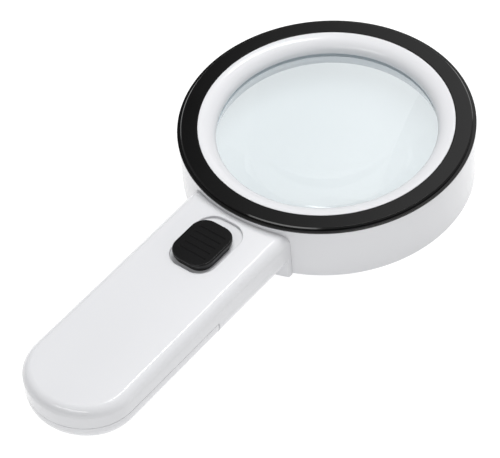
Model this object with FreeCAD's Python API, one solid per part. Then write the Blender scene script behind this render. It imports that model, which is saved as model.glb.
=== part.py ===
import FreeCAD, Part
import math
import os

from FreeCAD import Vector

# Low vision magnifier: a lighted round head with a large lens, on a flat battery handle.
# Millimetres. The origin is on the lens axis at the head's bottom rim. +Z points up out of the lens,
# and the handle runs towards -X.

# ---------------------------------------------------------------- driving sizes
# Clearances
SEAT_GAP = 0.1            # between faces that rest on each other
SIDE_GAP = 0.3            # around a round piece that drops into another
RUN_GAP = 0.2             # around a piece that slides
SCREW_GAP = 0.05          # between a screw's shaft and its hole

# Lens: a biconvex disc, which sets the head's radii
LENS_R = 52.5
LENS_BULGE = 5.36         # height of each crown over the lens's edge
LENS_EDGE = 3.0
LENS_SHELF = 4.0          # how far the barrel and the bezel lap over the lens

# Head: outwards from the lens, and heights above the rim
HEAD_BORDER = 12.5        # from the lens's edge to the outside of the skirt
SKIRT_WALL = 2.2
RIM_ROUND = 0.8
LEDGE_REACH = 1.6         # how far the skirt's inner ledge stands in
COVER_BOTTOM = 10.6
COVER_THICK = 1.6
COVER_FLOOR = 0.8         # cover's thickness under its relief channel
BOARD_THICK = 1.6
WEB_THICK = 2.0
BARREL_WALL = 2.2
COLLAR_WALL = 1.8

# Bezel and trim ring
BEZEL_FLANGE = 2.0
BEZEL_FACE_FOOT = 0.3     # upright foot of the bezel's oval face
BEZEL_BORDER = 3.8        # from the lens's edge to the trim ring's bore
TRIM_RISE = 2.0           # trim ring's top over the skirt's top
TRIM_TIER_SETBACK = 1.2   # from the outside of the skirt to the upper tier's edge
TRIM_TIER_STEP = 1.1      # height of the upper tier above the flange
TRIM_FLANGE_OVER = 0.3    # how far the flange overhangs the skirt
TRIM_CHAMFER = 0.5
TRIM_ROUND = 0.35
CROWN_DROP = 1.4          # lens's upper crown under the trim ring's top

# Lamps on the ring-shaped board
LED_COUNT = 12
LED_BORDER = 3.5          # from the lens's edge to the circle of lamps
LED_SIDE = 5.0
LED_THICK = 1.5
LED_WELL_R = 2.1
LED_WELL_FLARE = 0.2
LED_WELL_DEPTH = 0.4
WINDOW_TOP_R = 3.75
WINDOW_BOTTOM_R = 4.1
COVER_BORDER = 1.2        # solid border beside the cover's relief channel
RESISTOR_SIZE = (1.6, 3.2, 0.55)
RESISTOR_ANGLES = (60, 150, 210, 300)
PAD_SETBACK = 2.5         # from the circle of lamps to the leads' pads

# Screws: shaft radius, head radius, head height, shaft length
COVER_SCREW = (0.9, 1.7, 1.0, 4.9)
BEZEL_SCREW = (1.1, 2.1, 1.4, 6.0)
COLLAR_SCREW = (1.3, 2.6, 1.6, 9.0)
BASE_SCREW = (1.1, 2.2, 1.2, 6.5)
SWITCH_SCREW = (0.8, 1.6, 0.9, 2.9)
DRIVE_SHARE = 0.45        # half length of a screw's cross recess over its head radius
DRIVE_WIDTH_SHARE = 0.28  # width of the recess over the head radius
COVER_SCREW_ANGLES = (0, 120, 240)
BEZEL_SCREW_ANGLES = (30, 90, 150, 210, 270, 330)
BEZEL_SCREW_BORDER = 6.5  # from the lens's edge to the circle of bezel screws
BEZEL_BOSS_R = 2.3
COLLAR_SCREW_ANGLES = (165, 195)
COLLAR_SCREW_Z = 19.4
COLLAR_BOSS_R = 3.0

# Handle: shell with a crowned top, straight sides and an oval end
HANDLE_BOTTOM = 5.2
HANDLE_WALL = 2.2
HANDLE_DROP = 1.9         # crown line under the skirt's top
CELL_SIDE_ROOM = 1.55     # beside the outer cells, for the door's rails
CELL_TOP_ROOM = 0.85      # over the cells
END_OVERLAP = 4.9         # how far the rear contacts stand in the oval end
END_FLATNESS = 0.91       # oval end: reach over half width
END_CORNER = 0.86         # oval end: corner radius over half width
CROWN_R = 230.0
UPPER_ROUND = 4.5
LOWER_ROUND = 7.0
COLLAR_PROUD = 2.2        # thickness of the collar that lies against the head
COLLAR_ROUND = 1.2        # the collar's upright edges, seen under the handle
SEAM_DROP = 0.4           # long seam of the battery door under the cells' middle
DOOR_FRONT_GAP = 0.45
PORT_HALF = 5.0           # cable port from the handle into the head
PORT_Z = (17.5, 21.0)

# Cells
CELL_R = 7.15
CELL_BODY = 49.2
CELL_NUB = 1.3
CELL_NUB_R = 2.75
CELL_ROUND = 0.6
CELL_GAP = 0.4            # between cells
CELL_FLOOR_GAP = 0.15
BULKHEAD_SETBACK = 2.8    # from the door's front seam to the cell side of the front bulkhead
BULKHEAD = 1.5
TAB_WIDE = 2.4            # soldering tab of the positive contact
TAB_THICK = 0.8
TAB_REACH = 1.8           # past the bulkhead, or over the negative contact
TAB_ROOT = 1.0
PLATE_THICK = 0.4
PLATE_HALF = 4.8
BUTTON_R = 2.4
BUTTON_TAPER = 0.8
BUTTON_HEIGHT = 0.8
SPRING_LENGTH = 6.0
SPRING_R = 3.0
SPRING_WIRE_R = 0.35
SPRING_PITCH = 1.9
SPRING_STEPS = 16         # points of the coil's line in one turn

# Door rails: a foot on the housing runs in a groove of the door
RAIL_SETBACK = 3.0        # from the door's front seam, and from the oval end
RAIL_THICK = 1.0
RAIL_FOOT = 0.75
RAIL_FOOT_HEIGHT = 1.0
RAIL_DROP = 3.1           # from the long seam down to the foot's underside
TONGUE_HALF = 6.0
TONGUE_REACH = 3.6
TONGUE_ROOT = 2.0
TONGUE_THICK = 1.0
GRIP_SETBACK = 10.0
GRIP_COUNT = 5
GRIP_PITCH = 3.0
GRIP_HALF = 9.0
GRIP_R = 0.9

# Base plate under the switch
BASE_LENGTH = 34.0
BASE_WIDTH = 30.0
BASE_THICK = 2.0
BASE_CORNER = 4.0
FLOOR_STRIP = 5.3         # fixed floor between the base plate and the door
POST_R = 3.0
POST_INSET = 4.2

# Sliding switch
POCKET_START = 0.9        # from the collar to the pocket
POCKET_FRONT = 1.5        # pocket beyond the cap, with the switch on
POCKET_REAR = 1.3         # pocket behind the cap, with the switch off
POCKET_SIDE = 1.1         # pocket beside the cap
POCKET_DEPTH = 1.4
POCKET_FLOOR = 1.6
POCKET_RIM_ROUND = 0.4
PAD_BORDER = 1.6
SWITCH_TRAVEL = 4.2
CAP_LENGTH = 24.6
CAP_WIDTH = 20.2
CAP_CORNER = 7.0
CAP_RISE = 3.1            # cap's top over the handle's crown line
CAP_PLATE = 1.9
CAP_LIP = 0.9             # how far the cap's top plate overhangs its base
CAP_ROUND = 0.7
RIB_COUNT = 5
RIB_PITCH = 3.4
RIB_MARGIN = 3.4          # from a groove's end to the cap's long side
RIB_WIDTH = 1.1
RIB_CORNER = 0.54         # nearly half the width: round ends
RIB_DEPTH = 0.6
KNOB_SETBACK = 1.9        # knob behind the cap's middle
CAN_LENGTH = 14.0
CAN_WIDTH = 7.0
CAN_HEIGHT = 6.0
CAN_DROP = 3.1            # can's top under the pocket's floor
CAN_WALL = 0.4
EAR_REACH = 12.1
EAR_HOLE_X = 10.0
EAR_CORNER = 2.1
KNOB_STEM = 2.0
KNOB_FOOT_LENGTH = 6.0
KNOB_FOOT_LIFT = 0.6      # foot over the insulating plate, for the wiper
KNOB_RISE = 2.5
WIPER_HALF = 1.0
WIPER_THICK = 0.3
FORK_WALL = 1.5
FORK_WIDTH = 4.0
FORK_LIP = 1.0
FORK_LIP_HEIGHT = 0.5
SWITCH_BOSS_R = 2.4
TERMINAL_PITCH = 4.0
TERMINAL_SIZE = (0.5, 1.2)
TERMINAL_LENGTH = 3.8
BASE_SHEET = 1.0

# Leads
WIRE_R = 0.65
BEND_SHARE = 0.45         # of the shorter run beside a corner that its arc takes
LEAD_START = 4.0          # straight stretch at a joint
LEAD_SLOPE = 6.0          # length of a slope towards the middle of the handle
LEAD_RISE = 2.5
LEAD_Y = 2.5
LEAD_Z = 19.2

# ---------------------------------------------------------------- sizes that follow
AXIS = Vector(0, 0, 1)
INNER_FLOOR = HANDLE_BOTTOM + HANDLE_WALL
CELL_PITCH = 2 * CELL_R + CELL_GAP
CELL_Z = INNER_FLOOR + CELL_FLOOR_GAP + CELL_R
INNER_SIDE = CELL_PITCH + CELL_R + CELL_SIDE_ROOM
HANDLE_HALF = INNER_SIDE + HANDLE_WALL    # half width
HANDLE_TOP = CELL_Z + CELL_R + CELL_TOP_ROOM + HANDLE_WALL    # crown line

HEAD_R = LENS_R + HEAD_BORDER
BARREL_IN = LENS_R - LENS_SHELF
BEZEL_IN = BARREL_IN
TRIM_IN = LENS_R + BEZEL_BORDER
LED_CIRCLE_R = LENS_R + LED_BORDER
BEZEL_SCREW_CIRCLE_R = LENS_R + BEZEL_SCREW_BORDER
TRIM_TIER_R = HEAD_R - TRIM_TIER_SETBACK
COLLAR_R = HEAD_R + COLLAR_PROUD
SKIRT_TOP = HANDLE_TOP + HANDLE_DROP
TRIM_TOP = SKIRT_TOP + TRIM_RISE
BEZEL_TOP = TRIM_TOP - SEAT_GAP
LENS_CROWN = TRIM_TOP - CROWN_DROP
SKIRT_IN = HEAD_R - SKIRT_WALL
LEDGE_IN = SKIRT_IN - LEDGE_REACH
COVER_TOP = COVER_BOTTOM + COVER_THICK
BOARD_BOTTOM = COVER_TOP + SEAT_GAP
BOARD_TOP = BOARD_BOTTOM + BOARD_THICK
LEDGE_TOP = BOARD_TOP
WEB_BOTTOM = BOARD_TOP + SEAT_GAP
WEB_TOP = WEB_BOTTOM + WEB_THICK
BARREL_OUT = BARREL_IN + BARREL_WALL
COVER_IN = BARREL_OUT + SIDE_GAP
COVER_OUT = LEDGE_IN - SIDE_GAP
LENS_SURFACE_R = (LENS_R ** 2 + LENS_BULGE ** 2) / (2 * LENS_BULGE)
LENS_LOW_CROWN = LENS_CROWN - 2 * LENS_BULGE - LENS_EDGE
COLLAR_IN = LENS_R + SIDE_GAP
BEZEL_OUT = SKIRT_IN - SIDE_GAP
BOARD_PAD_X = -(LED_CIRCLE_R + PAD_SETBACK)

POCKET_LENGTH = POCKET_REAR + CAP_LENGTH + SWITCH_TRAVEL + POCKET_FRONT
POCKET_WIDTH = CAP_WIDTH + 2 * POCKET_SIDE
POCKET_CORNER = CAP_CORNER + POCKET_SIDE
POCKET_X = -(COLLAR_R + POCKET_START + POCKET_LENGTH / 2)
POCKET_FLOOR_Z = HANDLE_TOP - POCKET_DEPTH
PAD_UNDER = POCKET_FLOOR_Z - POCKET_FLOOR
CAP_X = POCKET_X - POCKET_LENGTH / 2 + POCKET_REAR + CAP_LENGTH / 2
CAP_TOP = HANDLE_TOP + CAP_RISE
RIB_LENGTH = CAP_WIDTH - 2 * RIB_MARGIN
KNOB_X = CAP_X - KNOB_SETBACK
SWITCH_X = KNOB_X + SWITCH_TRAVEL / 2
CAN_TOP = PAD_UNDER - CAN_DROP
CAN_BOTTOM = CAN_TOP - CAN_HEIGHT
TERMINAL_LOW = CAN_BOTTOM + BASE_SHEET - TERMINAL_LENGTH

BASE_X = SWITCH_X
DOOR_FRONT = BASE_X - BASE_LENGTH / 2 - FLOOR_STRIP
FRONT_PLATE_X = DOOR_FRONT - BULKHEAD_SETBACK
CELL_LENGTH = CELL_BODY + CELL_NUB
CELL_ROW = BUTTON_HEIGHT + SEAT_GAP + CELL_LENGTH + SPRING_LENGTH
FRONT_FACE_X = FRONT_PLATE_X - PLATE_THICK
REAR_FACE_X = FRONT_FACE_X - CELL_ROW
HANDLE_END_X = REAR_FACE_X + END_OVERLAP    # where the straight sides end
FAR_X = 2 * HANDLE_END_X    # well past the handle's tip
SEAM_Z = CELL_Z - SEAM_DROP
RAIL_FRONT = DOOR_FRONT - RAIL_SETBACK
RAIL_REAR = HANDLE_END_X + RAIL_SETBACK
RAIL_LOW = SEAM_Z - RAIL_DROP


def lens_over(radius):
    """Height of the lens's upper surface at a radius."""
    return LENS_CROWN - LENS_SURFACE_R + math.sqrt(LENS_SURFACE_R ** 2 - radius ** 2)


def lens_under(radius):
    """Height of the lens's lower surface at a radius."""
    return LENS_LOW_CROWN + LENS_SURFACE_R - math.sqrt(LENS_SURFACE_R ** 2 - radius ** 2)


BARREL_TOP = lens_under(BARREL_IN) - SEAT_GAP
BEZEL_BOTTOM = lens_over(LENS_R) + SEAT_GAP
BEZEL_LIP = lens_over(BEZEL_IN) + SEAT_GAP
FLANGE_TOP = BEZEL_BOTTOM + BEZEL_FLANGE
COLLAR_TOP = BEZEL_BOTTOM - SEAT_GAP
COLLAR_SCREW_SEAT = (math.sqrt(SKIRT_IN ** 2 - COLLAR_SCREW[1] ** 2) - SEAT_GAP, 0, COLLAR_SCREW_Z)


# ---------------------------------------------------------------- shape helpers
def box(low, high):
    """Box between two corners."""
    size = [b - a for a, b in zip(low, high)]
    return Part.makeBox(size[0], size[1], size[2], Vector(*low))


def rod(radius, start, length, direction=AXIS):
    """Cylinder from a start point along a direction."""
    return Part.makeCylinder(radius, length, Vector(*start), direction)


def revolve(edges):
    """Solid of revolution about the lens axis from a closed run of edges in the XZ plane."""
    face = Part.Face(Part.Wire(edges))
    return face.revolve(Vector(0, 0, 0), AXIS, 360)


def ring(corners):
    """Solid of revolution from (radius, height) corners."""
    points = [Vector(r, 0, z) for r, z in corners]
    return revolve(Part.makePolygon(points + points[:1]).Edges)


def tube_ring(inner, outer, low, high):
    """Plain ring between two radii and two heights."""
    return ring([(inner, low), (outer, low), (outer, high), (inner, high)])


def slab(x, y, length, width, corner, low, high):
    """Block with rounded upright corners, centred at x, y."""
    blank = box((x - length / 2, y - width / 2, low), (x + length / 2, y + width / 2, high))
    upright = [e for e in blank.Edges if abs(e.BoundBox.ZLength - (high - low)) < 1e-6]
    return blank.makeFillet(corner, upright)


def turned(shape, degrees):
    """A copy turned about the lens axis."""
    copy = shape.copy()
    copy.rotate(Vector(0, 0, 0), AXIS, degrees)
    return copy


def mirrored(shape):
    """The shape and its mirror image across the handle's middle plane."""
    return shape.fuse(shape.mirror(Vector(0, 0, 0), Vector(0, 1, 0)))


def rounded(shape, radius, chosen):
    """Fillet the edges that a test picks."""
    return shape.makeFillet(radius, [e for e in shape.Edges if chosen(e.BoundBox)])


def screw(spec, seat, direction, sunk=False):
    """Screw whose head rests at the seat, with the shaft running along the direction."""
    shaft_r, head_r, head_h, length = spec
    way = Vector(*direction)
    base = Vector(*seat)
    shaft = Part.makeCylinder(shaft_r, length, base, way)
    if sunk:
        head = Part.makeCone(head_r, shaft_r, head_h, base, way)
        top = base
    else:
        top = base - way * head_h
        head = Part.makeCylinder(head_r, head_h, top, way)
    body = head.fuse(shaft)
    side = Vector(0, 1, 0) if abs(way.z) > 0.5 else AXIS
    for across in (side, way.cross(side)):
        arm = head_r * 2 * DRIVE_SHARE
        thick = head_r * DRIVE_WIDTH_SHARE
        slot = Part.makeBox(arm, thick, head_h, Vector(-arm / 2, -thick / 2, -head_h / 2))
        slot.Placement = FreeCAD.Placement(top, FreeCAD.Rotation(across, way.cross(across), way, "XYZ"))
        body = body.cut(slot)
    return body


def screw_hole(spec, seat, direction, sunk=False):
    """Clearance for a screw's shaft, and for its head where it is sunk."""
    shaft_r, head_r, head_h, length = spec
    way = Vector(*direction)
    base = Vector(*seat)
    hole = Part.makeCylinder(shaft_r + SCREW_GAP, length + SEAT_GAP, base, way)
    if sunk:
        cone = Part.makeCone(head_r + SCREW_GAP, shaft_r + SCREW_GAP, head_h + SCREW_GAP, base, way)
        hole = hole.fuse(cone)
    return hole


def route(points, radius):
    """Round lead along straight runs joined by tangent arcs."""
    spots = [Vector(*p) for p in points]
    edges = []
    last = spots[0]
    for before, corner, after in zip(spots, spots[1:], spots[2:]):
        back = (before - corner).normalize()
        ahead = (after - corner).normalize()
        turn = math.pi - back.getAngle(ahead)
        shorter = min((before - corner).Length, (after - corner).Length)
        bend = BEND_SHARE * shorter / math.tan(turn / 2)
        cut = bend * math.tan(turn / 2)
        enter = corner + back * cut
        leave = corner + ahead * cut
        middle = (back + ahead).normalize()
        inside = corner + middle * (bend / math.cos(turn / 2) - bend)
        edges.append(Part.LineSegment(last, enter).toShape())
        edges.append(Part.Arc(enter, inside, leave).toShape())
        last = leave
    edges.append(Part.LineSegment(last, spots[-1]).toShape())
    path = Part.Wire(edges)
    start = Part.Circle(spots[0], spots[1] - spots[0], radius)
    return path.makePipeShell([Part.Wire([start.toShape()])], True, True)


# ---------------------------------------------------------------- handle outline
def handle_plan(inset, low):
    """Plan of the handle, drawn in by the inset: straight sides and an end of three arcs."""
    corner_r = END_CORNER * HANDLE_HALF
    reach = END_FLATNESS * HANDLE_HALF
    offset = HANDLE_HALF - corner_r
    end_r = (reach ** 2 - corner_r ** 2 + offset ** 2) / (2 * (reach - corner_r))
    end_x = HANDLE_END_X + math.sqrt((end_r - corner_r) ** 2 - offset ** 2)
    side = HANDLE_HALF - inset
    lean = math.atan2(offset, end_x - HANDLE_END_X)
    join_x = end_x - (end_r - inset) * math.cos(lean)
    join_y = (end_r - inset) * math.sin(lean)
    half_way = (lean + math.pi / 2) / 2
    mid_x = HANDLE_END_X - (corner_r - inset) * math.cos(half_way)
    mid_y = offset + (corner_r - inset) * math.sin(half_way)
    tip = Vector(end_x - end_r + inset, 0, low)
    outline = [(0, side), (HANDLE_END_X, side), (mid_x, mid_y), (join_x, join_y)]
    left = [Vector(x, y, low) for x, y in outline]
    right = [Vector(p.x, -p.y, low) for p in left]
    edges = [
        Part.LineSegment(left[0], left[1]).toShape(),
        Part.Arc(left[1], left[2], left[3]).toShape(),
        Part.Arc(left[3], tip, right[3]).toShape(),
        Part.Arc(right[3], right[2], right[1]).toShape(),
        Part.LineSegment(right[1], right[0]).toShape(),
        Part.LineSegment(right[0], left[0]).toShape(),
    ]
    return Part.Face(Part.Wire(edges))


def handle_body(inset, low=HANDLE_BOTTOM, lower_round=LOWER_ROUND):
    """Solid of the handle's outline, drawn in by the inset, with its rounded long edges."""
    floor = low + inset
    blank = handle_plan(inset, floor).extrude(Vector(0, 0, HANDLE_TOP - floor))
    crown = rod(CROWN_R - inset, (FAR_X, 0, HANDLE_TOP - CROWN_R), 1 - FAR_X, Vector(1, 0, 0))
    body = blank.common(crown)
    middle = (HANDLE_TOP + floor) / 2
    body = rounded(body, UPPER_ROUND - inset, lambda b: b.ZMin > middle and b.XMin < -1)
    if lower_round:
        body = rounded(body, lower_round - inset, lambda b: b.ZMax < floor + 1e-3 and b.XMin < -1)
    return body


# ---------------------------------------------------------------- head
def head_housing():
    """White skirt of the head, with the ledge that carries the lamp ring."""
    skirt = tube_ring(SKIRT_IN, HEAD_R, 0, SKIRT_TOP)
    skirt = rounded(skirt, RIM_ROUND, lambda b: b.ZMax < 1e-3 and b.XLength > 2 * HEAD_R - 1e-3)
    skirt = skirt.fuse(tube_ring(LEDGE_IN, SKIRT_IN + SEAT_GAP, COVER_BOTTOM, LEDGE_TOP))
    skirt = skirt.cut(cable_port())
    for angle in COLLAR_SCREW_ANGLES:
        skirt = skirt.cut(turned(screw_hole(COLLAR_SCREW, COLLAR_SCREW_SEAT, (1, 0, 0)), angle))
    return skirt


def cable_port():
    """Opening for the leads, through the skirt and the handle's collar."""
    return box((-COLLAR_R - 1, -PORT_HALF, PORT_Z[0]), (-SKIRT_IN + 4, PORT_HALF, PORT_Z[1]))


def lens_carrier():
    """Barrel, web and collar that hold the lens, with bosses for the bezel's screws."""
    carrier = tube_ring(BARREL_IN, SKIRT_IN - SIDE_GAP, WEB_BOTTOM, WEB_TOP)
    carrier = carrier.fuse(tube_ring(BARREL_IN, BARREL_OUT, COVER_BOTTOM, BARREL_TOP))
    carrier = carrier.fuse(tube_ring(COLLAR_IN, COLLAR_IN + COLLAR_WALL, WEB_TOP - SEAT_GAP, COLLAR_TOP))
    boss = rod(BEZEL_BOSS_R, (BEZEL_SCREW_CIRCLE_R, 0, WEB_TOP - SEAT_GAP), COLLAR_TOP - WEB_TOP + SEAT_GAP)
    post = rod(BEZEL_BOSS_R, (LED_CIRCLE_R, 0, WEB_TOP - SEAT_GAP), WEB_THICK)
    for angle in BEZEL_SCREW_ANGLES:
        carrier = carrier.fuse(turned(boss, angle))
    for angle in COVER_SCREW_ANGLES:
        carrier = carrier.fuse(turned(post, angle))
    for angle in BEZEL_SCREW_ANGLES:
        hole = screw_hole(BEZEL_SCREW, (BEZEL_SCREW_CIRCLE_R, 0, FLANGE_TOP), (0, 0, -1))
        carrier = carrier.cut(turned(hole, angle))
    for angle in COVER_SCREW_ANGLES:
        carrier = carrier.cut(turned(cover_screw_hole(), angle))
    notch = box((-SKIRT_IN, -PORT_HALF - 1, WEB_BOTTOM - 1), (-LED_CIRCLE_R, PORT_HALF + 1, WEB_TOP + 1))
    return carrier.cut(notch)


def cover_screw_hole():
    """Sunk hole for a screw through the lamp cover and board into the web."""
    return screw_hole(COVER_SCREW, (LED_CIRCLE_R, 0, COVER_BOTTOM), (0, 0, 1), sunk=True)


def led_cover():
    """White ring with a flared window for each lamp and a relief channel over the board."""
    cover = tube_ring(COVER_IN, COVER_OUT, COVER_BOTTOM, COVER_TOP)
    channel_low = COVER_BOTTOM + COVER_FLOOR
    channel = tube_ring(COVER_IN + COVER_BORDER, COVER_OUT - COVER_BORDER, channel_low, COVER_TOP + 1)
    for angle in COVER_SCREW_ANGLES:
        channel = channel.cut(turned(rod(COVER_SCREW[1] + COVER_BORDER, (LED_CIRCLE_R, 0, 0), SKIRT_TOP), angle))
    cover = cover.cut(channel)
    window = Part.makeCone(WINDOW_BOTTOM_R, WINDOW_TOP_R, COVER_THICK, Vector(LED_CIRCLE_R, 0, COVER_BOTTOM))
    for index in range(LED_COUNT):
        cover = cover.cut(turned(window, led_angle(index)))
    for angle in COVER_SCREW_ANGLES:
        cover = cover.cut(turned(cover_screw_hole(), angle))
    return cover


def led_angle(index):
    """Angle of a lamp; the lamps stand either side of the handle's line."""
    return (index + 0.5) * 360 / LED_COUNT


def led_board():
    """Ring-shaped circuit board."""
    board = tube_ring(COVER_IN, COVER_OUT, BOARD_BOTTOM, BOARD_TOP)
    for angle in COVER_SCREW_ANGLES:
        board = board.cut(turned(cover_screw_hole(), angle))
    return board


def led(index):
    """Square lamp on the underside of the board, with a round well in its face."""
    half = LED_SIDE / 2
    low = BOARD_BOTTOM - LED_THICK
    body = box((LED_CIRCLE_R - half, -half, low), (LED_CIRCLE_R + half, half, BOARD_BOTTOM))
    wide_r = LED_WELL_R + LED_WELL_FLARE
    well = Part.makeCone(wide_r, LED_WELL_R, LED_WELL_DEPTH, Vector(LED_CIRCLE_R, 0, low))
    return turned(body.cut(well), led_angle(index))


def resistor(angle):
    """Small flat resistor on the underside of the board."""
    along, across, thick = RESISTOR_SIZE
    low = (LED_CIRCLE_R - along / 2, -across / 2, BOARD_BOTTOM - thick)
    high = (LED_CIRCLE_R + along / 2, across / 2, BOARD_BOTTOM)
    return turned(box(low, high), angle)


def lens():
    """Biconvex glass disc."""
    top = Vector(0, 0, LENS_CROWN)
    bottom = Vector(0, 0, LENS_LOW_CROWN)
    half_r = LENS_R / 2
    low_edge = Vector(LENS_R, 0, lens_under(LENS_R))
    high_edge = Vector(LENS_R, 0, lens_over(LENS_R))
    edges = [
        Part.Arc(bottom, Vector(half_r, 0, lens_under(half_r)), low_edge).toShape(),
        Part.LineSegment(low_edge, high_edge).toShape(),
        Part.Arc(high_edge, Vector(half_r, 0, lens_over(half_r)), top).toShape(),
        Part.LineSegment(top, bottom).toShape(),
    ]
    return revolve(edges)


def lens_bezel():
    """White ring over the lens's edge: a quarter-oval face inside and a screwed flange outside."""
    face_out = TRIM_IN - SEAT_GAP
    foot = BEZEL_LIP + BEZEL_FACE_FOOT
    reach = face_out - BEZEL_IN
    rise = BEZEL_TOP - foot
    centre = Vector(face_out, 0, foot)
    if reach > rise:
        oval = Part.Ellipse(Vector(BEZEL_IN, 0, foot), Vector(face_out, 0, BEZEL_TOP), centre)
    else:
        oval = Part.Ellipse(Vector(face_out, 0, BEZEL_TOP), Vector(BEZEL_IN, 0, foot), centre)
    start = oval.parameter(Vector(BEZEL_IN, 0, foot))
    end = oval.parameter(Vector(face_out, 0, BEZEL_TOP))
    if end < start:
        start, end = end, start
    if end - start > math.pi:
        start, end = end, start + 2 * math.pi
    corners = [
        (face_out, BEZEL_TOP), (face_out, FLANGE_TOP), (BEZEL_OUT, FLANGE_TOP), (BEZEL_OUT, BEZEL_BOTTOM),
        (LENS_R, BEZEL_BOTTOM), (BEZEL_IN, BEZEL_LIP), (BEZEL_IN, foot),
    ]
    points = [Vector(r, 0, z) for r, z in corners]
    edges = [Part.ArcOfEllipse(oval, start, end).toShape()] + Part.makePolygon(points).Edges
    bezel = revolve(Part.__sortEdges__(edges))
    for angle in BEZEL_SCREW_ANGLES:
        hole = screw_hole(BEZEL_SCREW, (BEZEL_SCREW_CIRCLE_R, 0, FLANGE_TOP), (0, 0, -1))
        bezel = bezel.cut(turned(hole, angle))
    return bezel


def trim_ring():
    """Glossy ring on top: a flat upper tier with a chamfer and a lower flange over the skirt."""
    flange_r = HEAD_R + TRIM_FLANGE_OVER
    tier_low = TRIM_TOP - TRIM_TIER_STEP
    under = SKIRT_TOP + SEAT_GAP
    plug_r = SKIRT_IN - SIDE_GAP
    low = FLANGE_TOP + SEAT_GAP
    body = ring([
        (TRIM_IN, low), (plug_r, low), (plug_r, under), (flange_r, under), (flange_r, tier_low),
        (TRIM_TIER_R, tier_low), (TRIM_TIER_R, TRIM_TOP), (TRIM_IN, TRIM_TOP),
    ])
    wide = 2 * TRIM_TIER_R - 1e-3
    top_edge = [e for e in body.Edges if e.BoundBox.ZMin > TRIM_TOP - 1e-3 and e.BoundBox.XLength > wide]
    body = body.makeChamfer(TRIM_CHAMFER, top_edge)
    full = 2 * flange_r - 1e-3
    body = rounded(body, TRIM_ROUND, lambda b: b.XLength > full and b.ZMin > tier_low - 1e-3)
    body = rounded(body, TRIM_ROUND, lambda b: b.ZMin > TRIM_TOP - 1e-3 and b.XLength < 2 * TRIM_IN + 1e-3)
    head_room = BEZEL_SCREW[1] + SIDE_GAP
    channel = tube_ring(BEZEL_SCREW_CIRCLE_R - head_room, BEZEL_SCREW_CIRCLE_R + head_room, low - 1,
                        FLANGE_TOP + BEZEL_SCREW[2] + SIDE_GAP)
    return body.cut(channel)


# ---------------------------------------------------------------- handle
def door_space(gap):
    """Space behind the front seam and under the long seam, less a gap at both."""
    front_gap = DOOR_FRONT_GAP if gap else 0
    side = 2 * HANDLE_HALF
    return box((FAR_X, -side, -HANDLE_TOP), (DOOR_FRONT - front_gap, side, SEAM_Z - gap))


def rail():
    """Door rail on the +Y side: a web hanging from the wall, with a foot turned outwards."""
    face = INNER_SIDE - RUN_GAP
    inner = face - RAIL_THICK
    top = SEAM_Z + RAIL_THICK
    web = box((RAIL_REAR, inner, RAIL_LOW), (RAIL_FRONT, face, top))
    root = box((RAIL_REAR, inner, SEAM_Z), (RAIL_FRONT, INNER_SIDE + RUN_GAP, top))
    foot = box((RAIL_REAR, inner, RAIL_LOW), (RAIL_FRONT, face + RAIL_FOOT, RAIL_LOW + RAIL_FOOT_HEIGHT))
    return web.fuse(root).fuse(foot)


def rail_groove():
    """Groove in the door's +Y wall for the rail's foot, open at the door's front."""
    outer = INNER_SIDE + RAIL_FOOT
    return box((RAIL_REAR - RUN_GAP, INNER_SIDE - RAIL_THICK, RAIL_LOW - RUN_GAP),
               (DOOR_FRONT, outer, RAIL_LOW + RAIL_FOOT_HEIGHT + RUN_GAP))


def bulkhead(front):
    """Wall at one end of the cells, clear of the door below the long seam."""
    low = (front - BULKHEAD, -HANDLE_HALF, HANDLE_BOTTOM)
    plate = box(low, (front, HANDLE_HALF, HANDLE_TOP))
    upper = plate.common(handle_body(HANDLE_WALL - RUN_GAP))
    upper = upper.cut(door_space(0))
    lower = plate.common(handle_body(HANDLE_WALL + 2 * RUN_GAP))
    lead = box((front - BULKHEAD - 1, -CELL_PITCH / 2 - 2 * WIRE_R, CELL_Z + PLATE_HALF),
               (front + 1, -CELL_PITCH / 2 + 2 * WIRE_R, HANDLE_TOP - HANDLE_WALL))
    return upper.fuse(lower).cut(lead)


def base_opening(grow):
    """Rounded opening of the base plate, or the plate's own outline."""
    low = HANDLE_BOTTOM - grow * 2
    high = HANDLE_BOTTOM + BASE_THICK + grow * 2
    return slab(BASE_X, 0, BASE_LENGTH + 2 * grow, BASE_WIDTH + 2 * grow, BASE_CORNER, low, high)


def base_screw_seats():
    """Seats of the base plate's four screws."""
    along = BASE_LENGTH / 2 - POST_INSET
    across = BASE_WIDTH / 2 - POST_INSET
    return [(BASE_X + sx * along, sy * across, HANDLE_BOTTOM) for sx in (-1, 1) for sy in (-1, 1)]


def switch_slot():
    """Slot in the pocket's floor for the cap's fork."""
    half = KNOB_STEM / 2 + FORK_WALL + RUN_GAP
    return box((KNOB_X - half, -FORK_WIDTH / 2 - RUN_GAP, PAD_UNDER - 1),
               (KNOB_X + SWITCH_TRAVEL + half, FORK_WIDTH / 2 + RUN_GAP, HANDLE_TOP))


def switch_screw_seats():
    """Seats of the two screws under the switch's ears."""
    return [(SWITCH_X + side * EAR_HOLE_X, 0, CAN_TOP - CAN_WALL) for side in (-1, 1)]


def is_pocket_rim(bounds):
    """True for the edges where the switch pocket meets the handle's crowned top."""
    inside = abs((bounds.XMin + bounds.XMax) / 2 - POCKET_X) <= POCKET_LENGTH / 2 + 1e-3
    narrow = max(abs(bounds.YMin), abs(bounds.YMax)) <= POCKET_WIDTH / 2 + 1e-3
    return inside and narrow and bounds.ZMin > POCKET_FLOOR_Z + POCKET_RIM_ROUND / 2


def is_collar_edge(bounds):
    """True for the collar's two upright outer edges, which start at the rim."""
    upright = bounds.XLength < 1e-3 and bounds.YLength < 1e-3 and bounds.ZLength > HANDLE_BOTTOM
    return upright and bounds.ZMin < 1e-3 and bounds.XMax < -1


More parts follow.
